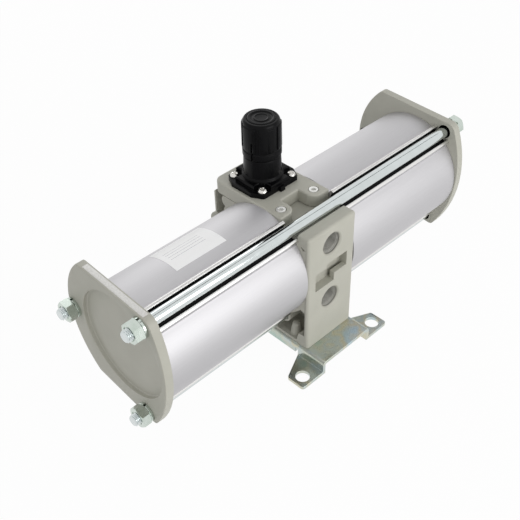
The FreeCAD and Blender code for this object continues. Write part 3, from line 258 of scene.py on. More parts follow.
# Centre body: a die-cast aluminium block with both ports, the stepped window and open side
# pockets, baked in warm grey paint that leaves a very fine orange peel.
def baked_paint():
    """Baked paint on a casting: satin, dielectric, peel of about 0.7 mm, slight shade drift."""
    material, tree, shader = start_material("baked light grey paint on die-casting", IOR=1.45)
    where = add_node(tree, "ShaderNodeTexCoord").outputs["Object"]
    drift = add_node(tree, "ShaderNodeTexNoise", None,
                     {"Vector": where, "Scale": 1 / (30 * mm), "Detail": 2.0})
    shade = add_node(tree, "ShaderNodeValToRGB", None,
                     {"Fac": drift.outputs["Fac"]}, ((0.3, "#B1B0A5"), (0.7, "#B7B6AB")))
    peel = add_node(tree, "ShaderNodeTexNoise", None,
                    {"Vector": where, "Scale": 1 / (0.7 * mm), "Detail": 2.0})
    rough = add_node(tree, "ShaderNodeMapRange", None,
                     {"Value": peel.outputs["Fac"], "To Min": 0.40, "To Max": 0.52})
    lumps = add_node(tree, "ShaderNodeBump", None,
                     {"Height": peel.outputs["Fac"], "Strength": 0.15, "Distance": 0.04 * mm})
    tree.links.new(shade.outputs["Color"], shader.inputs["Base Color"])
    tree.links.new(rough.outputs[0], shader.inputs["Roughness"])
    tree.links.new(lumps.outputs[0], shader.inputs["Normal"])
    return material


painted = baked_paint()
softened("centre_body", "centre_body_casting", 0.5 * mm, painted)


# Port threads: a pipe thread cut in both ports, drawn as a helix with a pitch of 1.34 mm. The
# cut metal is dull and takes the grey of the casting round it.
def grid_piece(name, points, material, body, close_v=False, angle=35):
    """Piece from a grid of points, rows along v and columns round u, where u always closes on
    itself. Points that fall together, as at a pole, are welded."""
    rows, columns = points.shape[:2]
    number = np.arange(rows * columns).reshape(rows, columns)
    number = np.hstack([number, number[:, :1]])
    if close_v:
        number = np.vstack([number, number[:1]])
    faces = np.stack([number[:-1, :-1], number[:-1, 1:], number[1:, 1:], number[1:, :-1]], axis=-1)
    mesh = bpy.data.meshes.new(name)
    mesh.from_pydata(points.reshape(-1, 3).tolist(), [], faces.reshape(-1, 4).tolist())
    form = bmesh.new()
    form.from_mesh(mesh)
    bmesh.ops.remove_doubles(form, verts=form.verts, dist=0.001 * mm)
    form.to_mesh(mesh)
    form.free()
    mesh.shade_smooth()
    mesh.set_sharp_from_angle(angle=math.radians(angle))
    mesh.materials.append(material)
    piece = bpy.data.objects.new(name, mesh)
    bpy.context.scene.collection.objects.link(piece)
    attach(piece, body)
    return piece


def along(axis, origin, distance, radius, angle):
    """Points at a distance along an axis, at a radius and an angle round it."""
    across = {"x": (1, 2, 0), "y": (2, 0, 1), "z": (0, 1, 2)}[axis]
    distance, radius, angle = np.broadcast_arrays(distance, radius, angle)
    points = np.zeros(distance.shape + (3,))
    points[..., across[0]] = radius * np.cos(angle)
    points[..., across[1]] = radius * np.sin(angle)
    points[..., across[2]] = distance
    return points + np.array(origin)


def full_turn(columns):
    """One row of evenly spaced angles, once round."""
    return np.linspace(0, 2 * np.pi, columns, endpoint=False)[None, :]


def thread_wave(distance, pitch, around):
    """Wave of a thread, from 0 to 1: the distance counted in pitches, less the part of a turn
    gone round, runs up and down once in each whole number."""
    return np.abs((distance / pitch - around / (2 * np.pi)) % 1 * 2 - 1)


def cut_casting():
    """Cut cast metal: half metallic and dull, with cutting marks of about 0.5 mm."""
    material, tree, shader = start_material("cut cast aluminium in the ports", Metallic=0.4)
    where = add_node(tree, "ShaderNodeTexCoord").outputs["Object"]
    marks = add_node(tree, "ShaderNodeTexNoise", None,
                     {"Vector": where, "Scale": 1 / (0.5 * mm), "Detail": 3.0})
    shade = add_node(tree, "ShaderNodeValToRGB", None,
                     {"Fac": marks.outputs["Fac"]}, ((0.3, "#A3A29B"), (0.7, "#B4B3AD")))
    rough = add_node(tree, "ShaderNodeMapRange", None,
                     {"Value": marks.outputs["Fac"], "To Min": 0.40, "To Max": 0.60})
    tree.links.new(shade.outputs["Color"], shader.inputs["Base Color"])
    tree.links.new(rough.outputs[0], shader.inputs["Roughness"])
    return material


cut_metal = cut_casting()
port_face, port_radius, port_depth = -51.4 * mm, 10.2 * mm, 18.0 * mm
port_pitch, port_thread_height, port_clearance = 1.34 * mm, 0.72 * mm, 0.02 * mm
around = full_turn(96)
inward = np.arange(0.0, port_depth, port_pitch / 8)[:, None]
fade = np.clip(inward / port_pitch - 0.8, 0, 1) * np.clip((port_depth - inward) / port_pitch - 0.5, 0, 1)
thread = port_radius - port_clearance - port_thread_height * thread_wave(inward, port_pitch, around) * fade
for name, height in (("port_upper_thread", 121.4 * mm), ("port_lower_thread", 60.4 * mm)):
    origin = (0, 0, height)
    skin = along("y", origin, port_face + inward, thread, around)
    wall = along("y", origin, port_face + inward[[-1, 0]], port_radius - port_clearance / 2, around)
    grid_piece(name, np.concatenate([skin, wall])[:, ::-1], cut_metal, "base", close_v=True)


# Cylinder tubes: extruded aluminium, honed inside and clear anodised to a satin finish. The
# extrusion carries a pair of rails beside each tie rod, so that the rod lies in a channel.
def extruded_skin(name, line_width, dark, light, gloss=None, **values):
    """Extruded aluminium: lines along X, fifty times as long as they are wide, shade the colour
    from dark to light and, where gloss gives two values, the roughness between them."""
    material, tree, shader = start_material(name, **values)
    where = add_node(tree, "ShaderNodeTexCoord").outputs["Object"]
    stretched = add_node(tree, "ShaderNodeMapping", None, {"Vector": where, "Scale": (0.02, 1, 1)})
    lines = add_node(tree, "ShaderNodeTexNoise", None,
                     {"Vector": stretched.outputs[0], "Scale": 1 / line_width, "Detail": 3.0})
    shade = add_node(tree, "ShaderNodeValToRGB", None,
                     {"Fac": lines.outputs["Fac"]}, ((0.35, dark), (0.65, light)))
    tree.links.new(shade.outputs["Color"], shader.inputs["Base Color"])
    if gloss:
        rough = add_node(tree, "ShaderNodeMapRange", None,
                         {"Value": lines.outputs["Fac"], "To Min": gloss[0], "To Max": gloss[1]})
        tree.links.new(rough.outputs[0], shader.inputs["Roughness"])
    return material


# The anodised skin is bright and satin. In the channels beside each rod the metal is painted near
# black as painted shade, and the rail tops are painted lighter as a painted highlight and made glossier.
anodised = extruded_skin("clear anodised aluminium tube", 0.5 * mm, "#C1C0C2", "#C5C4C6",
                         (0.52, 0.58), Metallic=1.0)
# Channel skin: near black, as painted shade. Rail top skin: lighter as a painted highlight, and glossier.
dull = extruded_skin("channel aluminium painted dark as shade", 0.5 * mm, "#101011", "#171718",
                     Metallic=0.7, Roughness=0.55)
rail_painted_highlight = extruded_skin("rail tops painted light as highlight", 0.3 * mm, "#DDDCDA", "#E5E4E2",
                            (0.26, 0.34), Metallic=1.0)
rod_places = {name: (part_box(name)[0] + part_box(name)[1]) / 2
              for name in ("tie_rod_back", "tie_rod_top", "tie_rod_bottom")}
axis_height, tube_radius, bore_radius, rail_top = 94.0 * mm, 53.1 * mm, 50.0 * mm, 57.6 * mm
tube_axis = (0, 0, axis_height)


def tube_section():
    """Outline of the extrusion as angles and radii round its axis. Between the rods it is a
    circle. Beside a rod, at a distance s across and h out from the axis, it climbs a fillet and
    a wall to the rounded rail top and drops to the channel floor, the same on both sides."""
    across = np.array([-12.4, -11.9, -11.5, -11.2, -11.0, -10.9, -10.85, -10.75, -10.5, -10.0, -9.2,
                       -8.4, -8.0, -7.75, -7.62, -7.58, -7.54, -7.5, -7.3, -6.6, -4.0, -2.0]) * mm
    lift = np.array([0, 0.08, 0.3, 0.8, 1.6, 3.2, 4.3, 4.8, 5.1, 5.23, 5.28,
                     5.23, 5.1, 4.8, 4.3, 3.0, 1.2, 0.5, 0.1, 0, 0, 0])
    rail_middle, rail_zone, arc_steps = 8.8 * mm, 13.5 * mm, 72
    lift = lift * (rail_top - math.sqrt(tube_radius ** 2 - rail_middle ** 2)) / lift.max()
    across, lift = np.append(across, -across[::-1]), np.append(lift, lift[::-1])
    out = np.sqrt(tube_radius ** 2 - across ** 2) + lift
    angles, radii = [], []
    rods = sorted(math.atan2(place.z - axis_height, place.y) % (2 * math.pi)
                  for place in rod_places.values())
    reach = math.asin(rail_zone / tube_radius)
    for rod, following in zip(rods, rods[1:] + [rods[0] + 2 * math.pi]):
        arc = np.linspace(rod + reach, following - reach, arc_steps)
        angles += [rod + np.arctan2(across, out), arc]
        radii += [np.hypot(across, out), np.full(arc_steps, tube_radius)]
    return np.concatenate(angles), np.concatenate(radii)


# Where the wall of a rail overhangs, the bore's angles stand still until the outline has moved
# on. Each face then gets the skin of its place: rail top, channel or plain.
angles, radii = tube_section()
bore_angles = np.maximum.accumulate(angles)
end_edge, channel_half_width, channel_floor = 0.3 * mm, 7.7 * mm, tube_radius - 1.4 * mm
channel_limit, rail_limit = rail_top - 1.2 * mm, rail_top - 0.9 * mm
for name in ("left_tube", "right_tube"):
    low, high = (corner[0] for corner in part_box(name))
    stations = np.concatenate([[low], np.linspace(low + end_edge, high - end_edge, 16), [high]])[:, None]
    skin = np.repeat(radii[None, :], len(stations), axis=0)
    skin[[0, -1]] -= end_edge
    outside = along("x", tube_axis, stations, skin, angles[None, :])
    bore = along("x", tube_axis, stations[[-1, 0]], bore_radius, bore_angles[None, :])
    tube = grid_piece(name + "_extrusion", np.concatenate([outside, bore]), anodised, "base",
                      close_v=True, angle=40)
    tube.data.materials.append(dull)
    tube.data.materials.append(rail_painted_highlight)
    centres = np.empty(len(tube.data.polygons) * 3)
    tube.data.polygons.foreach_get("center", centres)
    offset = centres.reshape(-1, 3)[:, 1:] - np.array((0, axis_height))
    distance = np.hypot(offset[:, 0], offset[:, 1])
    deep, top = distance < channel_limit, distance > rail_limit
    near = np.zeros(len(offset), bool)
    for place in rod_places.values():
        outward = np.array((place.y, place.z - axis_height)) / math.hypot(place.y, place.z - axis_height)
        sideways = np.abs(offset[:, 0] * outward[1] - offset[:, 1] * outward[0])
        near |= (sideways < channel_half_width) & (offset @ outward > channel_floor)
    # Faces deep in a channel take the near-black painted shade, and faces on a rail top take the painted
    # highlight.
    tube.data.polygons.foreach_set("material_index", np.where(top, 2, deep & near).astype(np.int32))
    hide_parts(name)


# Tube film: a thin white polyester film stuck on top of the left tube. It is plain, with four
# ruled lines.
def ruled_film():
    """Satin white film. A line is where the arc length round the tube, its radius times the
    angle, modulo 3.6 mm is under 0.35 mm, within the margins of the film."""
    film_radius_in_mm, line_spacing, line_width = 53.2, 3.6, 0.35
    lowest_line, highest_line, line_start, line_stop = 66.0, 81.0, -126 * mm, -90 * mm
    material, tree, shader = start_material("blank ruled polyester film", Roughness=0.38, IOR=1.5)
    where = add_node(tree, "ShaderNodeTexCoord").outputs["Object"]
    centred = add_node(tree, "ShaderNodeMapping", None, {"Vector": where, "Location": (0, 0, -axis_height)})
    parts = add_node(tree, "ShaderNodeSeparateXYZ", None, {0: centred.outputs[0]})
    turn = add_node(tree, "ShaderNodeMath", {"operation": "ARCTAN2"},
                    {0: parts.outputs["Z"], 1: parts.outputs["Y"]})
    arc = add_node(tree, "ShaderNodeMath", {"operation": "MULTIPLY"},
                   {0: turn.outputs[0], 1: film_radius_in_mm})
    step = add_node(tree, "ShaderNodeMath", {"operation": "FLOORED_MODULO"},
                    {0: arc.outputs[0], 1: line_spacing})
    line = add_node(tree, "ShaderNodeMath", {"operation": "LESS_THAN"},
                    {0: step.outputs[0], 1: line_width})
    for value, comparison, limit in (
        (arc.outputs[0], "GREATER_THAN", lowest_line),
        (arc.outputs[0], "LESS_THAN", highest_line),
        (parts.outputs["X"], "GREATER_THAN", line_start),
        (parts.outputs["X"], "LESS_THAN", line_stop),
    ):
        within = add_node(tree, "ShaderNodeMath", {"operation": comparison}, {0: value, 1: limit})
        line = add_node(tree, "ShaderNodeMath", {"operation": "MULTIPLY"},
                        {0: line.outputs[0], 1: within.outputs[0]})
    shade = add_node(tree, "ShaderNodeValToRGB", None,
                     {"Fac": line.outputs[0]}, ((0.0, "#FEFEFE"), (1.0, "#A6A6AC")))
    tree.links.new(shade.outputs["Color"], shader.inputs["Base Color"])
    return material


film_left, film_right, film_front_angle, film_back_angle = -131 * mm, -79 * mm, 99.5, 60.0
film_columns, film_top, film_underside = 28, 53.20 * mm, 53.12 * mm
film_steps = np.linspace(film_left, film_right, 14)
film_angles = np.radians(np.linspace(film_back_angle, film_front_angle, film_columns))
film_loop = np.concatenate([film_angles, film_angles[::-1]])[None, :]
film_radius = np.repeat([film_top, film_underside], film_columns)[None, :]
film = along("x", tube_axis, film_steps[:, None], film_radius, film_loop)
film_end = along("x", tube_axis, film_steps[[0, -1], None], (film_top + film_underside) / 2, film_loop)
film = np.concatenate([film_end[:1], film, film_end[1:]])
grid_piece("left_tube_film", film, ruled_film(), "base")


# End covers: flat aluminium castings with a shallow round recess, painted like the body. Each
# tie rod hole is painted near black inside as painted shade and widens towards the tube by 0.75 mm.
def painted_bore_shade():
    """Bore of a casting painted near black as painted shade: dull, half metallic, with boring marks of 0.5
    mm.
    """
    material, tree, shader = start_material("bore painted dark as shade", Metallic=0.3, Roughness=0.6)
    where = add_node(tree, "ShaderNodeTexCoord").outputs["Object"]
    marks = add_node(tree, "ShaderNodeTexNoise", None,
                     {"Vector": where, "Scale": 1 / (0.5 * mm), "Detail": 2.0})
    shade = add_node(tree, "ShaderNodeValToRGB", None,
                     {"Fac": marks.outputs["Fac"]}, ((0.3, "#050505"), (0.7, "#0B0B0A")))
    tree.links.new(shade.outputs["Color"], shader.inputs["Base Color"])
    return material


bare = painted_bore_shade()
hole_reach, wide_hole, cover_inner_side = 5.8 * mm, 6.35 * mm, 182 * mm
for side in ("left", "right"):
    cover = softened(side + "_end_cover", side + "_cover_casting", 0.6 * mm, painted,
                     steps=3, angle=55)
    cover.data.materials.append(bare)
    points = np.empty(len(cover.data.vertices) * 3)
    cover.data.vertices.foreach_get("co", points)
    points = points.reshape(-1, 3)
    starts = np.empty(len(cover.data.polygons), np.int32)
    cover.data.polygons.foreach_get("loop_start", starts)
    corner_points = np.empty(len(cover.data.loops), np.int32)
    cover.data.loops.foreach_get("vertex_index", corner_points)
    nearest = np.full(len(points), 1.0)
    for place in rod_places.values():
        middle = np.array((place.y, place.z))
        offset = points[:, 1:] - middle
        distance = np.hypot(offset[:, 0], offset[:, 1])
        nearest = np.minimum(nearest, distance)
        rim = (distance < hole_reach) & (np.abs(points[:, 0]) < cover_inner_side)
        points[rim, 1:] = middle + offset[rim] * (wide_hole / distance[rim])[:, None]
    # Faces inside a rod hole take the near-black painted shade.
    inside_bore = np.maximum.reduceat(nearest[corner_points], starts) < hole_reach
    cover.data.polygons.foreach_set("material_index", inside_bore.astype(np.int32))
    cover.data.vertices.foreach_set("co", points.ravel())
    cover.data.update()


# Raised strip: a narrow bar cast with the left cover, along its top edge. The paint is wiped off
# its face, and it is plain.
def wiped_strip():
    """The strip's face, wiped nearly bare of paint: lighter, satin, with wipe marks of 1.2 mm."""
    material, tree, shader = start_material("paint wiped off a raised strip", Metallic=0.35, Roughness=0.45)
    where = add_node(tree, "ShaderNodeTexCoord").outputs["Object"]
    marks = add_node(tree, "ShaderNodeTexNoise", None,
                     {"Vector": where, "Scale": 1 / (1.2 * mm), "Detail": 3.0})
    shade = add_node(tree, "ShaderNodeValToRGB", None,
                     {"Fac": marks.outputs["Fac"]}, ((0.3, "#CBCAC6"), (0.7, "#DEDDDA")))
    tree.links.new(shade.outputs["Color"], shader.inputs["Base Color"])
    return material


def strip_piece(name, x_middle, half_width, start, stop, foot, height, lean, material, body):
    """Low bar on a plane that leans by an angle about the tube axis and lies at the distance foot
    from it. Its section is a rounded trapezium, and its ends sink and close over 0.7 mm."""
    across = np.array([-1, -1, -0.9, -0.7, 0.7, 0.9, 1, 1]) * half_width
    rise = np.array([-0.4, 0.4, 0.85, 1.0, 1.0, 0.85, 0.4, -0.4]) * height
    from_end = np.array([0, 0, 0.25 * mm, 0.7 * mm])
    along_edge = np.concatenate([start + from_end, stop - from_end[::-1]])[:, None]
    width_share = np.array([0, 0.9, 0.98, 1, 1, 0.98, 0.9, 0])[:, None]
    height_share = np.array([0, 0.5, 0.9, 1, 1, 0.9, 0.5, 0])[:, None]
    out = foot + rise[None, :] * height_share
    points = np.zeros(out.shape + (3,))
    points[..., 0] = x_middle + across[None, :] * width_share
    points[..., 1] = along_edge * math.cos(lean) - out * math.sin(lean)
    points[..., 2] = axis_height + along_edge * math.sin(lean) + out * math.cos(lean)
    return grid_piece(name, points, material, body, angle=50)


strip_piece("left_cover_strip", x_middle=-182.65 * mm, half_width=2.6 * mm, start=-34 * mm, stop=40 * mm,
            foot=61.0 * mm, height=0.35 * mm, lean=math.radians(2.6), material=wiped_strip(),
            body="base")


# Tie rods: three long steel rods with rolled threads at their ends, bright zinc plated. The
# plating is mirror bright with a faint blue green tint.
def bright_zinc(name, roughness, dark, light, metal=1.0):
    """Plating on steel, mirror bright or satin by its roughness, with clouds of about 8 mm in its
    shade and gloss."""
    material, tree, shader = start_material(name, Metallic=metal)
    where = add_node(tree, "ShaderNodeTexCoord").outputs["Object"]
    cloud = add_node(tree, "ShaderNodeTexNoise", None,
                     {"Vector": where, "Scale": 1 / (8 * mm), "Detail": 3.0})
    shade = add_node(tree, "ShaderNodeValToRGB", None,
                     {"Fac": cloud.outputs["Fac"]}, ((0.3, dark), (0.7, light)))
    rough = add_node(tree, "ShaderNodeMapRange", None,
                     {"Value": cloud.outputs["Fac"], "To Min": roughness * 0.8, "To Max": roughness * 1.2})
    tree.links.new(shade.outputs["Color"], shader.inputs["Base Color"])
    tree.links.new(rough.outputs[0], shader.inputs["Roughness"])
    return material


def threaded_rod(name, axis, origin, reach, radius, thread, pitch, material, body, columns):
    """Rod from -reach to +reach. Near each end its radius dips by a helical wave, and a 45 degree
    chamfer caps it; the ends close on the axis."""
    thread_depth, chamfer_height = 0.61 * pitch, 1.2 * mm
    thread_rows = np.arange(reach - thread, reach, pitch / 8)
    half = np.concatenate([np.linspace(0, reach - thread, 8)[:-1], thread_rows, [reach]])
    distance = np.concatenate([-half[:0:-1], half])[:, None]
    around = full_turn(columns)
    fade = np.clip((np.abs(distance) - (reach - thread)) / pitch, 0, 1)
    skin = radius - thread_depth * thread_wave(distance, pitch, around) * fade
    skin = np.minimum(skin, radius - chamfer_height + (reach - np.abs(distance)))
    ends = [along(axis, origin, end, 0, around) for end in (-reach, reach)]
    points = np.concatenate([ends[0], along(axis, origin, distance, skin, around), ends[1]])
    return grid_piece(name, points, material, body, angle=40)


zinc_rod = bright_zinc("bright zinc on drawn steel rod", 0.10, "#CDD3D3", "#D3D9D9")
for name, place in rod_places.items():
    rod = threaded_rod(name + "_rod", "x", (0, place.y, place.z), reach=202 * mm, radius=5.25 * mm,
                       thread=19 * mm, pitch=1.5 * mm, material=zinc_rod, body="base",
                       columns=72)
    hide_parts(name)


# Spring washers and nuts: steel, bright zinc plated. Each washer is a split ring, and each nut
# has chamfered corners and a thread.
def hex_nut(name, axis, origin, start, stop, flats, hole, turn, pitch, material):
    """Hexagon nut: the hexagon's radius is half the flats over cos of the angle from the nearest
    flat, and each end face falls away at 30 degrees outside the chamfer circle. The bore is a
    helical wave. One closed loop of rows round the section."""
    around = full_turn(144) + turn
    hexagon = flats / 2 / np.cos((around - turn) % (np.pi / 3) - np.pi / 6)
    circle_share, fall_angle, countersink, thread_depth = 0.985, math.radians(30), 0.9 * mm, 0.55 * pitch
    circle = flats / 2 * circle_share
    fall = np.maximum(hexagon - circle, 0) * math.tan(fall_angle)
    rows = [(start, hole + countersink), (start, circle), (start + fall, hexagon)]
    rows += [((start + stop) / 2, hexagon), (stop - fall, hexagon)]
    rows += [(stop, circle), (stop, hole + countersink)]
    inside = np.arange(stop - countersink, start + countersink, -pitch / 6)[:, None]
    outside = np.concatenate([along(axis, origin, distance, radius, around) for distance, radius in rows])
    bore = along(axis, origin, inside, hole + thread_depth * thread_wave(inside, pitch, around), around)
    return grid_piece(name, np.concatenate([outside, bore]), material, "base",
                      close_v=True, angle=25)


def split_washer(name, axis, origin, start, stop, inner, outer, material):
    """Spring washer: a square section swept round the axis from one side of its split to the
    other, closed at both ends, with small chamfers on the section."""
    edge, split_start, split_stop = 0.25 * mm, math.radians(97), math.radians(443)
    section = np.array([(start, inner + edge), (start, outer - edge), (start + edge, outer),
                        (stop - edge, outer), (stop, outer - edge), (stop, inner + edge),
                        (stop - edge, inner), (start + edge, inner)])
    around = np.linspace(split_start, split_stop, 96)
    points = along(axis, origin, section[None, :, 0], section[None, :, 1], around[:, None])
    middle = np.repeat(points.mean(axis=1, keepdims=True), points.shape[1], axis=1)
    closed = np.concatenate([middle[:1], points, middle[-1:]])[:, ::-1]
    return grid_piece(name, closed, material, "base", angle=30)


zinc_nut = bright_zinc("bright zinc on steel nuts", 0.18, "#C0CBC2", "#D0D8D2")
for side in ("left", "right"):
    low, high = (corner[0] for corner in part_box(side + "_nuts"))
    washer_low, washer_high = (corner[0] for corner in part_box(side + "_washers"))
    for number, place in enumerate(rod_places.values()):
        origin = (0, place.y, place.z)
        nut = hex_nut(f"{side}_nut_{number + 1}", "x", origin, low, high, flats=17 * mm, hole=5.3 * mm,
                      turn=math.radians(11 * number), pitch=1.5 * mm, material=zinc_nut)
        washer = split_washer(f"{side}_washer_{number + 1}", "x", origin, washer_low, washer_high,
                              inner=5.6 * mm, outer=9.0 * mm, material=zinc_nut)
        if number == 0:
            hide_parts(side + "_nuts")
            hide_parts(side + "_washers")


# Gasket: a thin sheet of pressed fibre, cut to the outline of the valve housing and clamped
# between it and the deck of the body. It keeps its CAD form, as only its edge shows.
def pressed_fibre():
    """Pressed fibre sheet: matt grey beige with fibres of about 0.4 mm."""
    material, tree, shader = start_material("pressed fibre gasket sheet", Roughness=0.85)
    where = add_node(tree, "ShaderNodeTexCoord").outputs["Object"]
    fibre = add_node(tree, "ShaderNodeTexNoise", None,
                     {"Vector": where, "Scale": 1 / (0.4 * mm), "Detail": 4.0})
    shade = add_node(tree, "ShaderNodeValToRGB", None,
                     {"Fac": fibre.outputs["Fac"]}, ((0.3, "#77736A"), (0.7, "#8B877D")))
    tree.links.new(shade.outputs["Color"], shader.inputs["Base Color"])
    return material


def paint(node, material):
    """Give a CAD node that stays its material."""
    nodes[node].data.materials.clear()
    nodes[node].data.materials.append(material)


paint("housing_gasket", pressed_fibre())

# Valve housing: an aluminium casting on the deck of the body over a thin gasket, painted like
# the body, with two round lugs for its screws.
softened("valve_housing", "valve_housing_casting", 0.5 * mm, painted, steps=3)


# Housing screws: two socket head screws of steel, coated with zinc flake to a satin white. They
# go through the lugs of the valve housing, with their heads sunk in them.
def socket_screw(name, place, radius, high, tip, shank, flats, material):
    """Socket head screw on Z. Rows of (height, radius): tip, shank, head with a chamfer, then the
    hexagon socket, whose radius is half the flats over cos of the angle from the nearest flat."""
    around = full_turn(96)
    hexagon = flats / 2 / np.cos(around % (np.pi / 3) - np.pi / 6)
    head_height, socket_depth, tip_chamfer = 5.0 * mm, 2.6 * mm, 0.5 * mm
    head_low, socket_low = high - head_height, high - socket_depth
    rows = [(tip, 0), (tip, shank - tip_chamfer), (tip + tip_chamfer, shank)]
    rows += [(head_low, shank), (head_low, radius), (high - 0.45 * mm, radius)]
    rows += [(high - 0.12 * mm, radius - 0.14 * mm), (high, radius - 0.5 * mm)]
    rows += [(high, hexagon + 0.35 * mm), (high - 0.3 * mm, hexagon)]
    rows += [(socket_low, hexagon), (socket_low - 0.5 * mm, 0)]
    points = np.concatenate([along("z", (*place, 0), height, out, around) for height, out in rows])
    return grid_piece(name, points, material, "base", angle=30)


zinc_screw = bright_zinc("white zinc flake on screws", 0.42, "#E6E6E3", "#EFEFEC", 0.4)
low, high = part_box("housing_screws")
screw_radius = 4.25 * mm
for number, x in enumerate((low.x + screw_radius, high.x - screw_radius)):
    screw = socket_screw(f"housing_screw_{number + 1}", (x, low.y + screw_radius), screw_radius,
                         high.z, low.z, shank=2.5 * mm, flats=4.0 * mm, material=zinc_screw)
    if number == 0:
        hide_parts("housing_screws")


# Regulator bonnet: black glass-filled polyamide, moulded in one piece with its flange. It is
# fairly glossy and houses the regulating spring.
def black_moulding(name, roughness):
    """Injection moulded black plastic: fairly glossy, with a fine texture of about 0.35 mm."""
    material, tree, shader = start_material(name, IOR=1.2)
    where = add_node(tree, "ShaderNodeTexCoord").outputs["Object"]
    grain = add_node(tree, "ShaderNodeTexNoise", None,
                     {"Vector": where, "Scale": 1 / (0.35 * mm), "Detail": 2.0})
    shade = add_node(tree, "ShaderNodeValToRGB", None,
                     {"Fac": grain.outputs["Fac"]}, ((0.3, "#050506"), (0.7, "#08080A")))
    rough = add_node(tree, "ShaderNodeMapRange", None,
                     {"Value": grain.outputs["Fac"], "To Min": roughness - 0.05, "To Max": roughness + 0.05})
    lumps = add_node(tree, "ShaderNodeBump", None,
                     {"Height": grain.outputs["Fac"], "Strength": 0.1, "Distance": 0.03 * mm})
    tree.links.new(shade.outputs["Color"], shader.inputs["Base Color"])
    tree.links.new(rough.outputs[0], shader.inputs["Roughness"])
    tree.links.new(lumps.outputs[0], shader.inputs["Normal"])
    return material


black = black_moulding("moulded black polyamide", 0.30)
softened("regulator_bonnet", "bonnet_moulding", 0.25 * mm, black)


# Bonnet screws: four pan head screws of steel with a cross recess, bright nickel plated. They
# go through the corners of the flange into the valve housing.
def pan_screw(name, place, radius, low, high, tip, shank, turn, material):
    """Pan head screw on Z. The head's height falls with the fourth power of the radius, and the
    recess takes off a depth where a point lies within one of two crossed arms."""
    around = full_turn(96)
    across = np.linspace(1, 0, 40)[1:, None] * radius
    rim, edge, tip_chamfer, recess_depth = 0.9 * mm, 0.15 * mm, 0.5 * mm, 1.7 * mm
    dome = low + rim + (high - low - rim) * (1 - (across / radius) ** 4)
    along_arm, off_arm = across * np.cos(around - turn), across * np.sin(around - turn)
    half_width, reach, wall, end_slope = 0.5 * mm, 2.3 * mm, 0.28 * mm, 1.2 * mm
    arms = [np.clip((half_width + wall - np.abs(off)) / wall, 0, 1)
            * np.clip((reach - np.abs(on)) / end_slope, 0, 1)
            for on, off in ((along_arm, off_arm), (off_arm, along_arm))]
    top = dome - recess_depth * np.maximum(*arms)
    top[-1] = top[-1].mean()
    rows = [(tip, 0), (tip, shank - tip_chamfer), (tip + tip_chamfer, shank), (low, shank)]
    rows += [(low, radius - edge), (low + edge, radius), (low + rim, radius), (top, across)]
    points = np.concatenate([along("z", (*place, 0), height, out, around) for height, out in rows])
    return grid_piece(name, points, material, "base", angle=40)


nickel = bright_zinc("bright nickel on pan head screws", 0.12, "#CFCDC8", "#DAD8D4")
low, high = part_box("bonnet_screws")
screw_radius, head_height, turns = 4.0 * mm, 2.9 * mm, (20, 65, 38, 5)
corners = [(x, y) for x in (low.x + screw_radius, high.x - screw_radius)
           for y in (low.y + screw_radius, high.y - screw_radius)]
for number, place in enumerate(corners):
    screw = pan_screw(f"bonnet_screw_{number + 1}", place, screw_radius, high.z - head_height, high.z,
                      low.z, shank=2.5 * mm, turn=math.radians(turns[number]), material=nickel)
    if number == 0:
        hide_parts("bonnet_screws")


# Knob and its cap: moulded black polyamide, like the bonnet. The cap sits in the top of the
# knob, and its profile, given as rows of height and radius, rises and falls in concentric rings.
softened("knob", "knob_moulding", 0.25 * mm, black)
low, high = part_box("knob_cap")
cap_axis, cap_radius = ((low.x + high.x) / 2, (low.y + high.y) / 2, 0), (high.x - low.x) / 2
cap_rows = [(low.z, cap_radius), (low.z, 0.4 * mm), (low.z + 0.4 * mm, 0.0)]
cap_rows += [(high.z - down * mm, inward * mm) for down, inward in (
    (1.0, 0.0), (0.5, 0.1), (0.15, 0.4), (0.0, 0.9), (0.0, 2.2), (0.15, 2.6), (0.7, 2.9), (0.85, 3.3),
    (0.85, 5.3), (0.75, 5.6), (0.3, 5.9), (0.2, 6.2), (0.2, 6.7), (0.3, 7.0), (0.6, 7.3), (0.65, 7.7))]
cap_rows.append((high.z - 0.65 * mm, cap_radius))
around = full_turn(96)
cap = [along("z", cap_axis, height, cap_radius - inward, around) for height, inward in cap_rows]
cap = grid_piece("knob_cap_moulding", np.concatenate(cap), black, nodes["knob_cap"]["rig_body"],
                 angle=50)
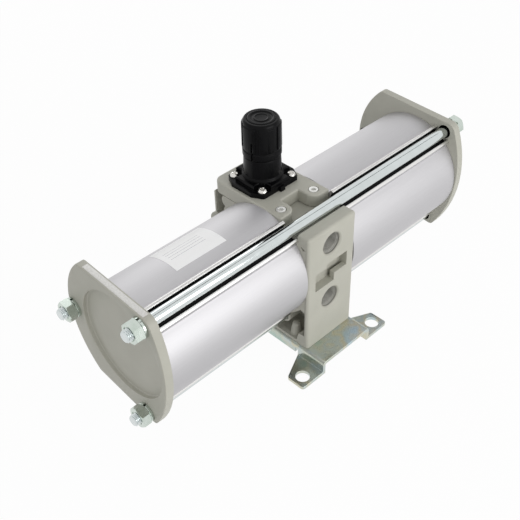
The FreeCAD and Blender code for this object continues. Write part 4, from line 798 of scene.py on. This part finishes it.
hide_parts("knob_cap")


# Seals, wear rings and rod bush: moulded nitrile rubber rings, split rings of filled acetal and a
# turned brass bush. They sit in their grooves inside and keep their CAD form.
def plain_stock(name, grain, dark, light, smooth, rough, metal, stretch=(1, 1, 1)):
    """One stock material: its grain, in mm, shades the colour from dark to light and the gloss
    from smooth to rough. Metals have fine turning or grinding marks, soft parts a bloom."""
    material, tree, shader = start_material(name, Metallic=metal)
    where = add_node(tree, "ShaderNodeTexCoord").outputs["Object"]
    stretched = add_node(tree, "ShaderNodeMapping", None, {"Vector": where, "Scale": stretch})
    marks = add_node(tree, "ShaderNodeTexNoise", None,
                     {"Vector": stretched.outputs[0], "Scale": 1 / (grain * mm), "Detail": 3.0})
    shade = add_node(tree, "ShaderNodeValToRGB", None,
                     {"Fac": marks.outputs["Fac"]}, ((0.3, dark), (0.7, light)))
    gloss = add_node(tree, "ShaderNodeMapRange", None,
                     {"Value": marks.outputs["Fac"], "To Min": smooth, "To Max": rough})
    tree.links.new(shade.outputs["Color"], shader.inputs["Base Color"])
    tree.links.new(gloss.outputs[0], shader.inputs["Roughness"])
    return material


round_marks = (1, 0.1, 0.1)
rubber = plain_stock("black nitrile rubber", 2.0, "#161616", "#202020", 0.48, 0.62, 0.0)
brass = plain_stock("turned brass", 0.3, "#C09A4C", "#CDA95C", 0.22, 0.34, 1.0, round_marks)
acetal = plain_stock("filled acetal", 1.5, "#D3CCB8", "#DFD8C6", 0.35, 0.46, 0.0)
for name in ("tube_seals", "piston_seals", "rod_seals", "governor_seal"):
    paint(name, rubber)
paint("wear_rings", acetal)
paint("rod_bush", brass)

# Pistons and valves inside: pistons, sleeves, seats and poppets turned from cast aluminium, with
# the piston rod, spool, stem, screw and spring seat of ground steel. They keep their CAD form.
steel = plain_stock("ground steel", 0.2, "#B2B4B7", "#BEC0C3", 0.15, 0.26, 1.0, round_marks)
for name in ("left_piston", "right_piston", "changeover_sleeve", "changeover_guides",
             "check_valve_seats", "check_valve_guides", "governor_piston", "left_inlet_poppet",
             "right_inlet_poppet", "left_outlet_poppet", "right_outlet_poppet"):
    paint(name, cut_metal)
for name in ("piston_rod", "changeover_spool", "governor_stem", "adjusting_screw", "spring_seat"):
    paint(name, steel)

# Check valve springs, piston nuts and foot screws: small steel parts, bright zinc plated. The
# springs sit on their poppets, the nuts hold the pistons, and the screws hold the bracket.
zinc_spring = bright_zinc("bright zinc on spring steel", 0.25, "#B0B4B2", "#BFC3C1")
for name in ("left_inlet_spring", "right_inlet_spring", "left_outlet_spring", "right_outlet_spring",
             "piston_nuts", "foot_screws"):
    paint(name, zinc_spring)

# Regulating spring and governor spring: coiled spring steel, zinc plated. Each stands on a fixed
# seat under the piece that slides on its upper end.
for name, joint, foot, travel in (
    ("regulating_spring", "seat_slide", 146.5 * mm, 5.0 * mm),
    ("governor_spring", "governor_slide", 112.0 * mm, 1.2 * mm),
):
    spring = softened(name, name + "_wire", 0.05 * mm, zinc_spring, steps=1, angle=80)
    low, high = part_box(name)
    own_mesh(spring)
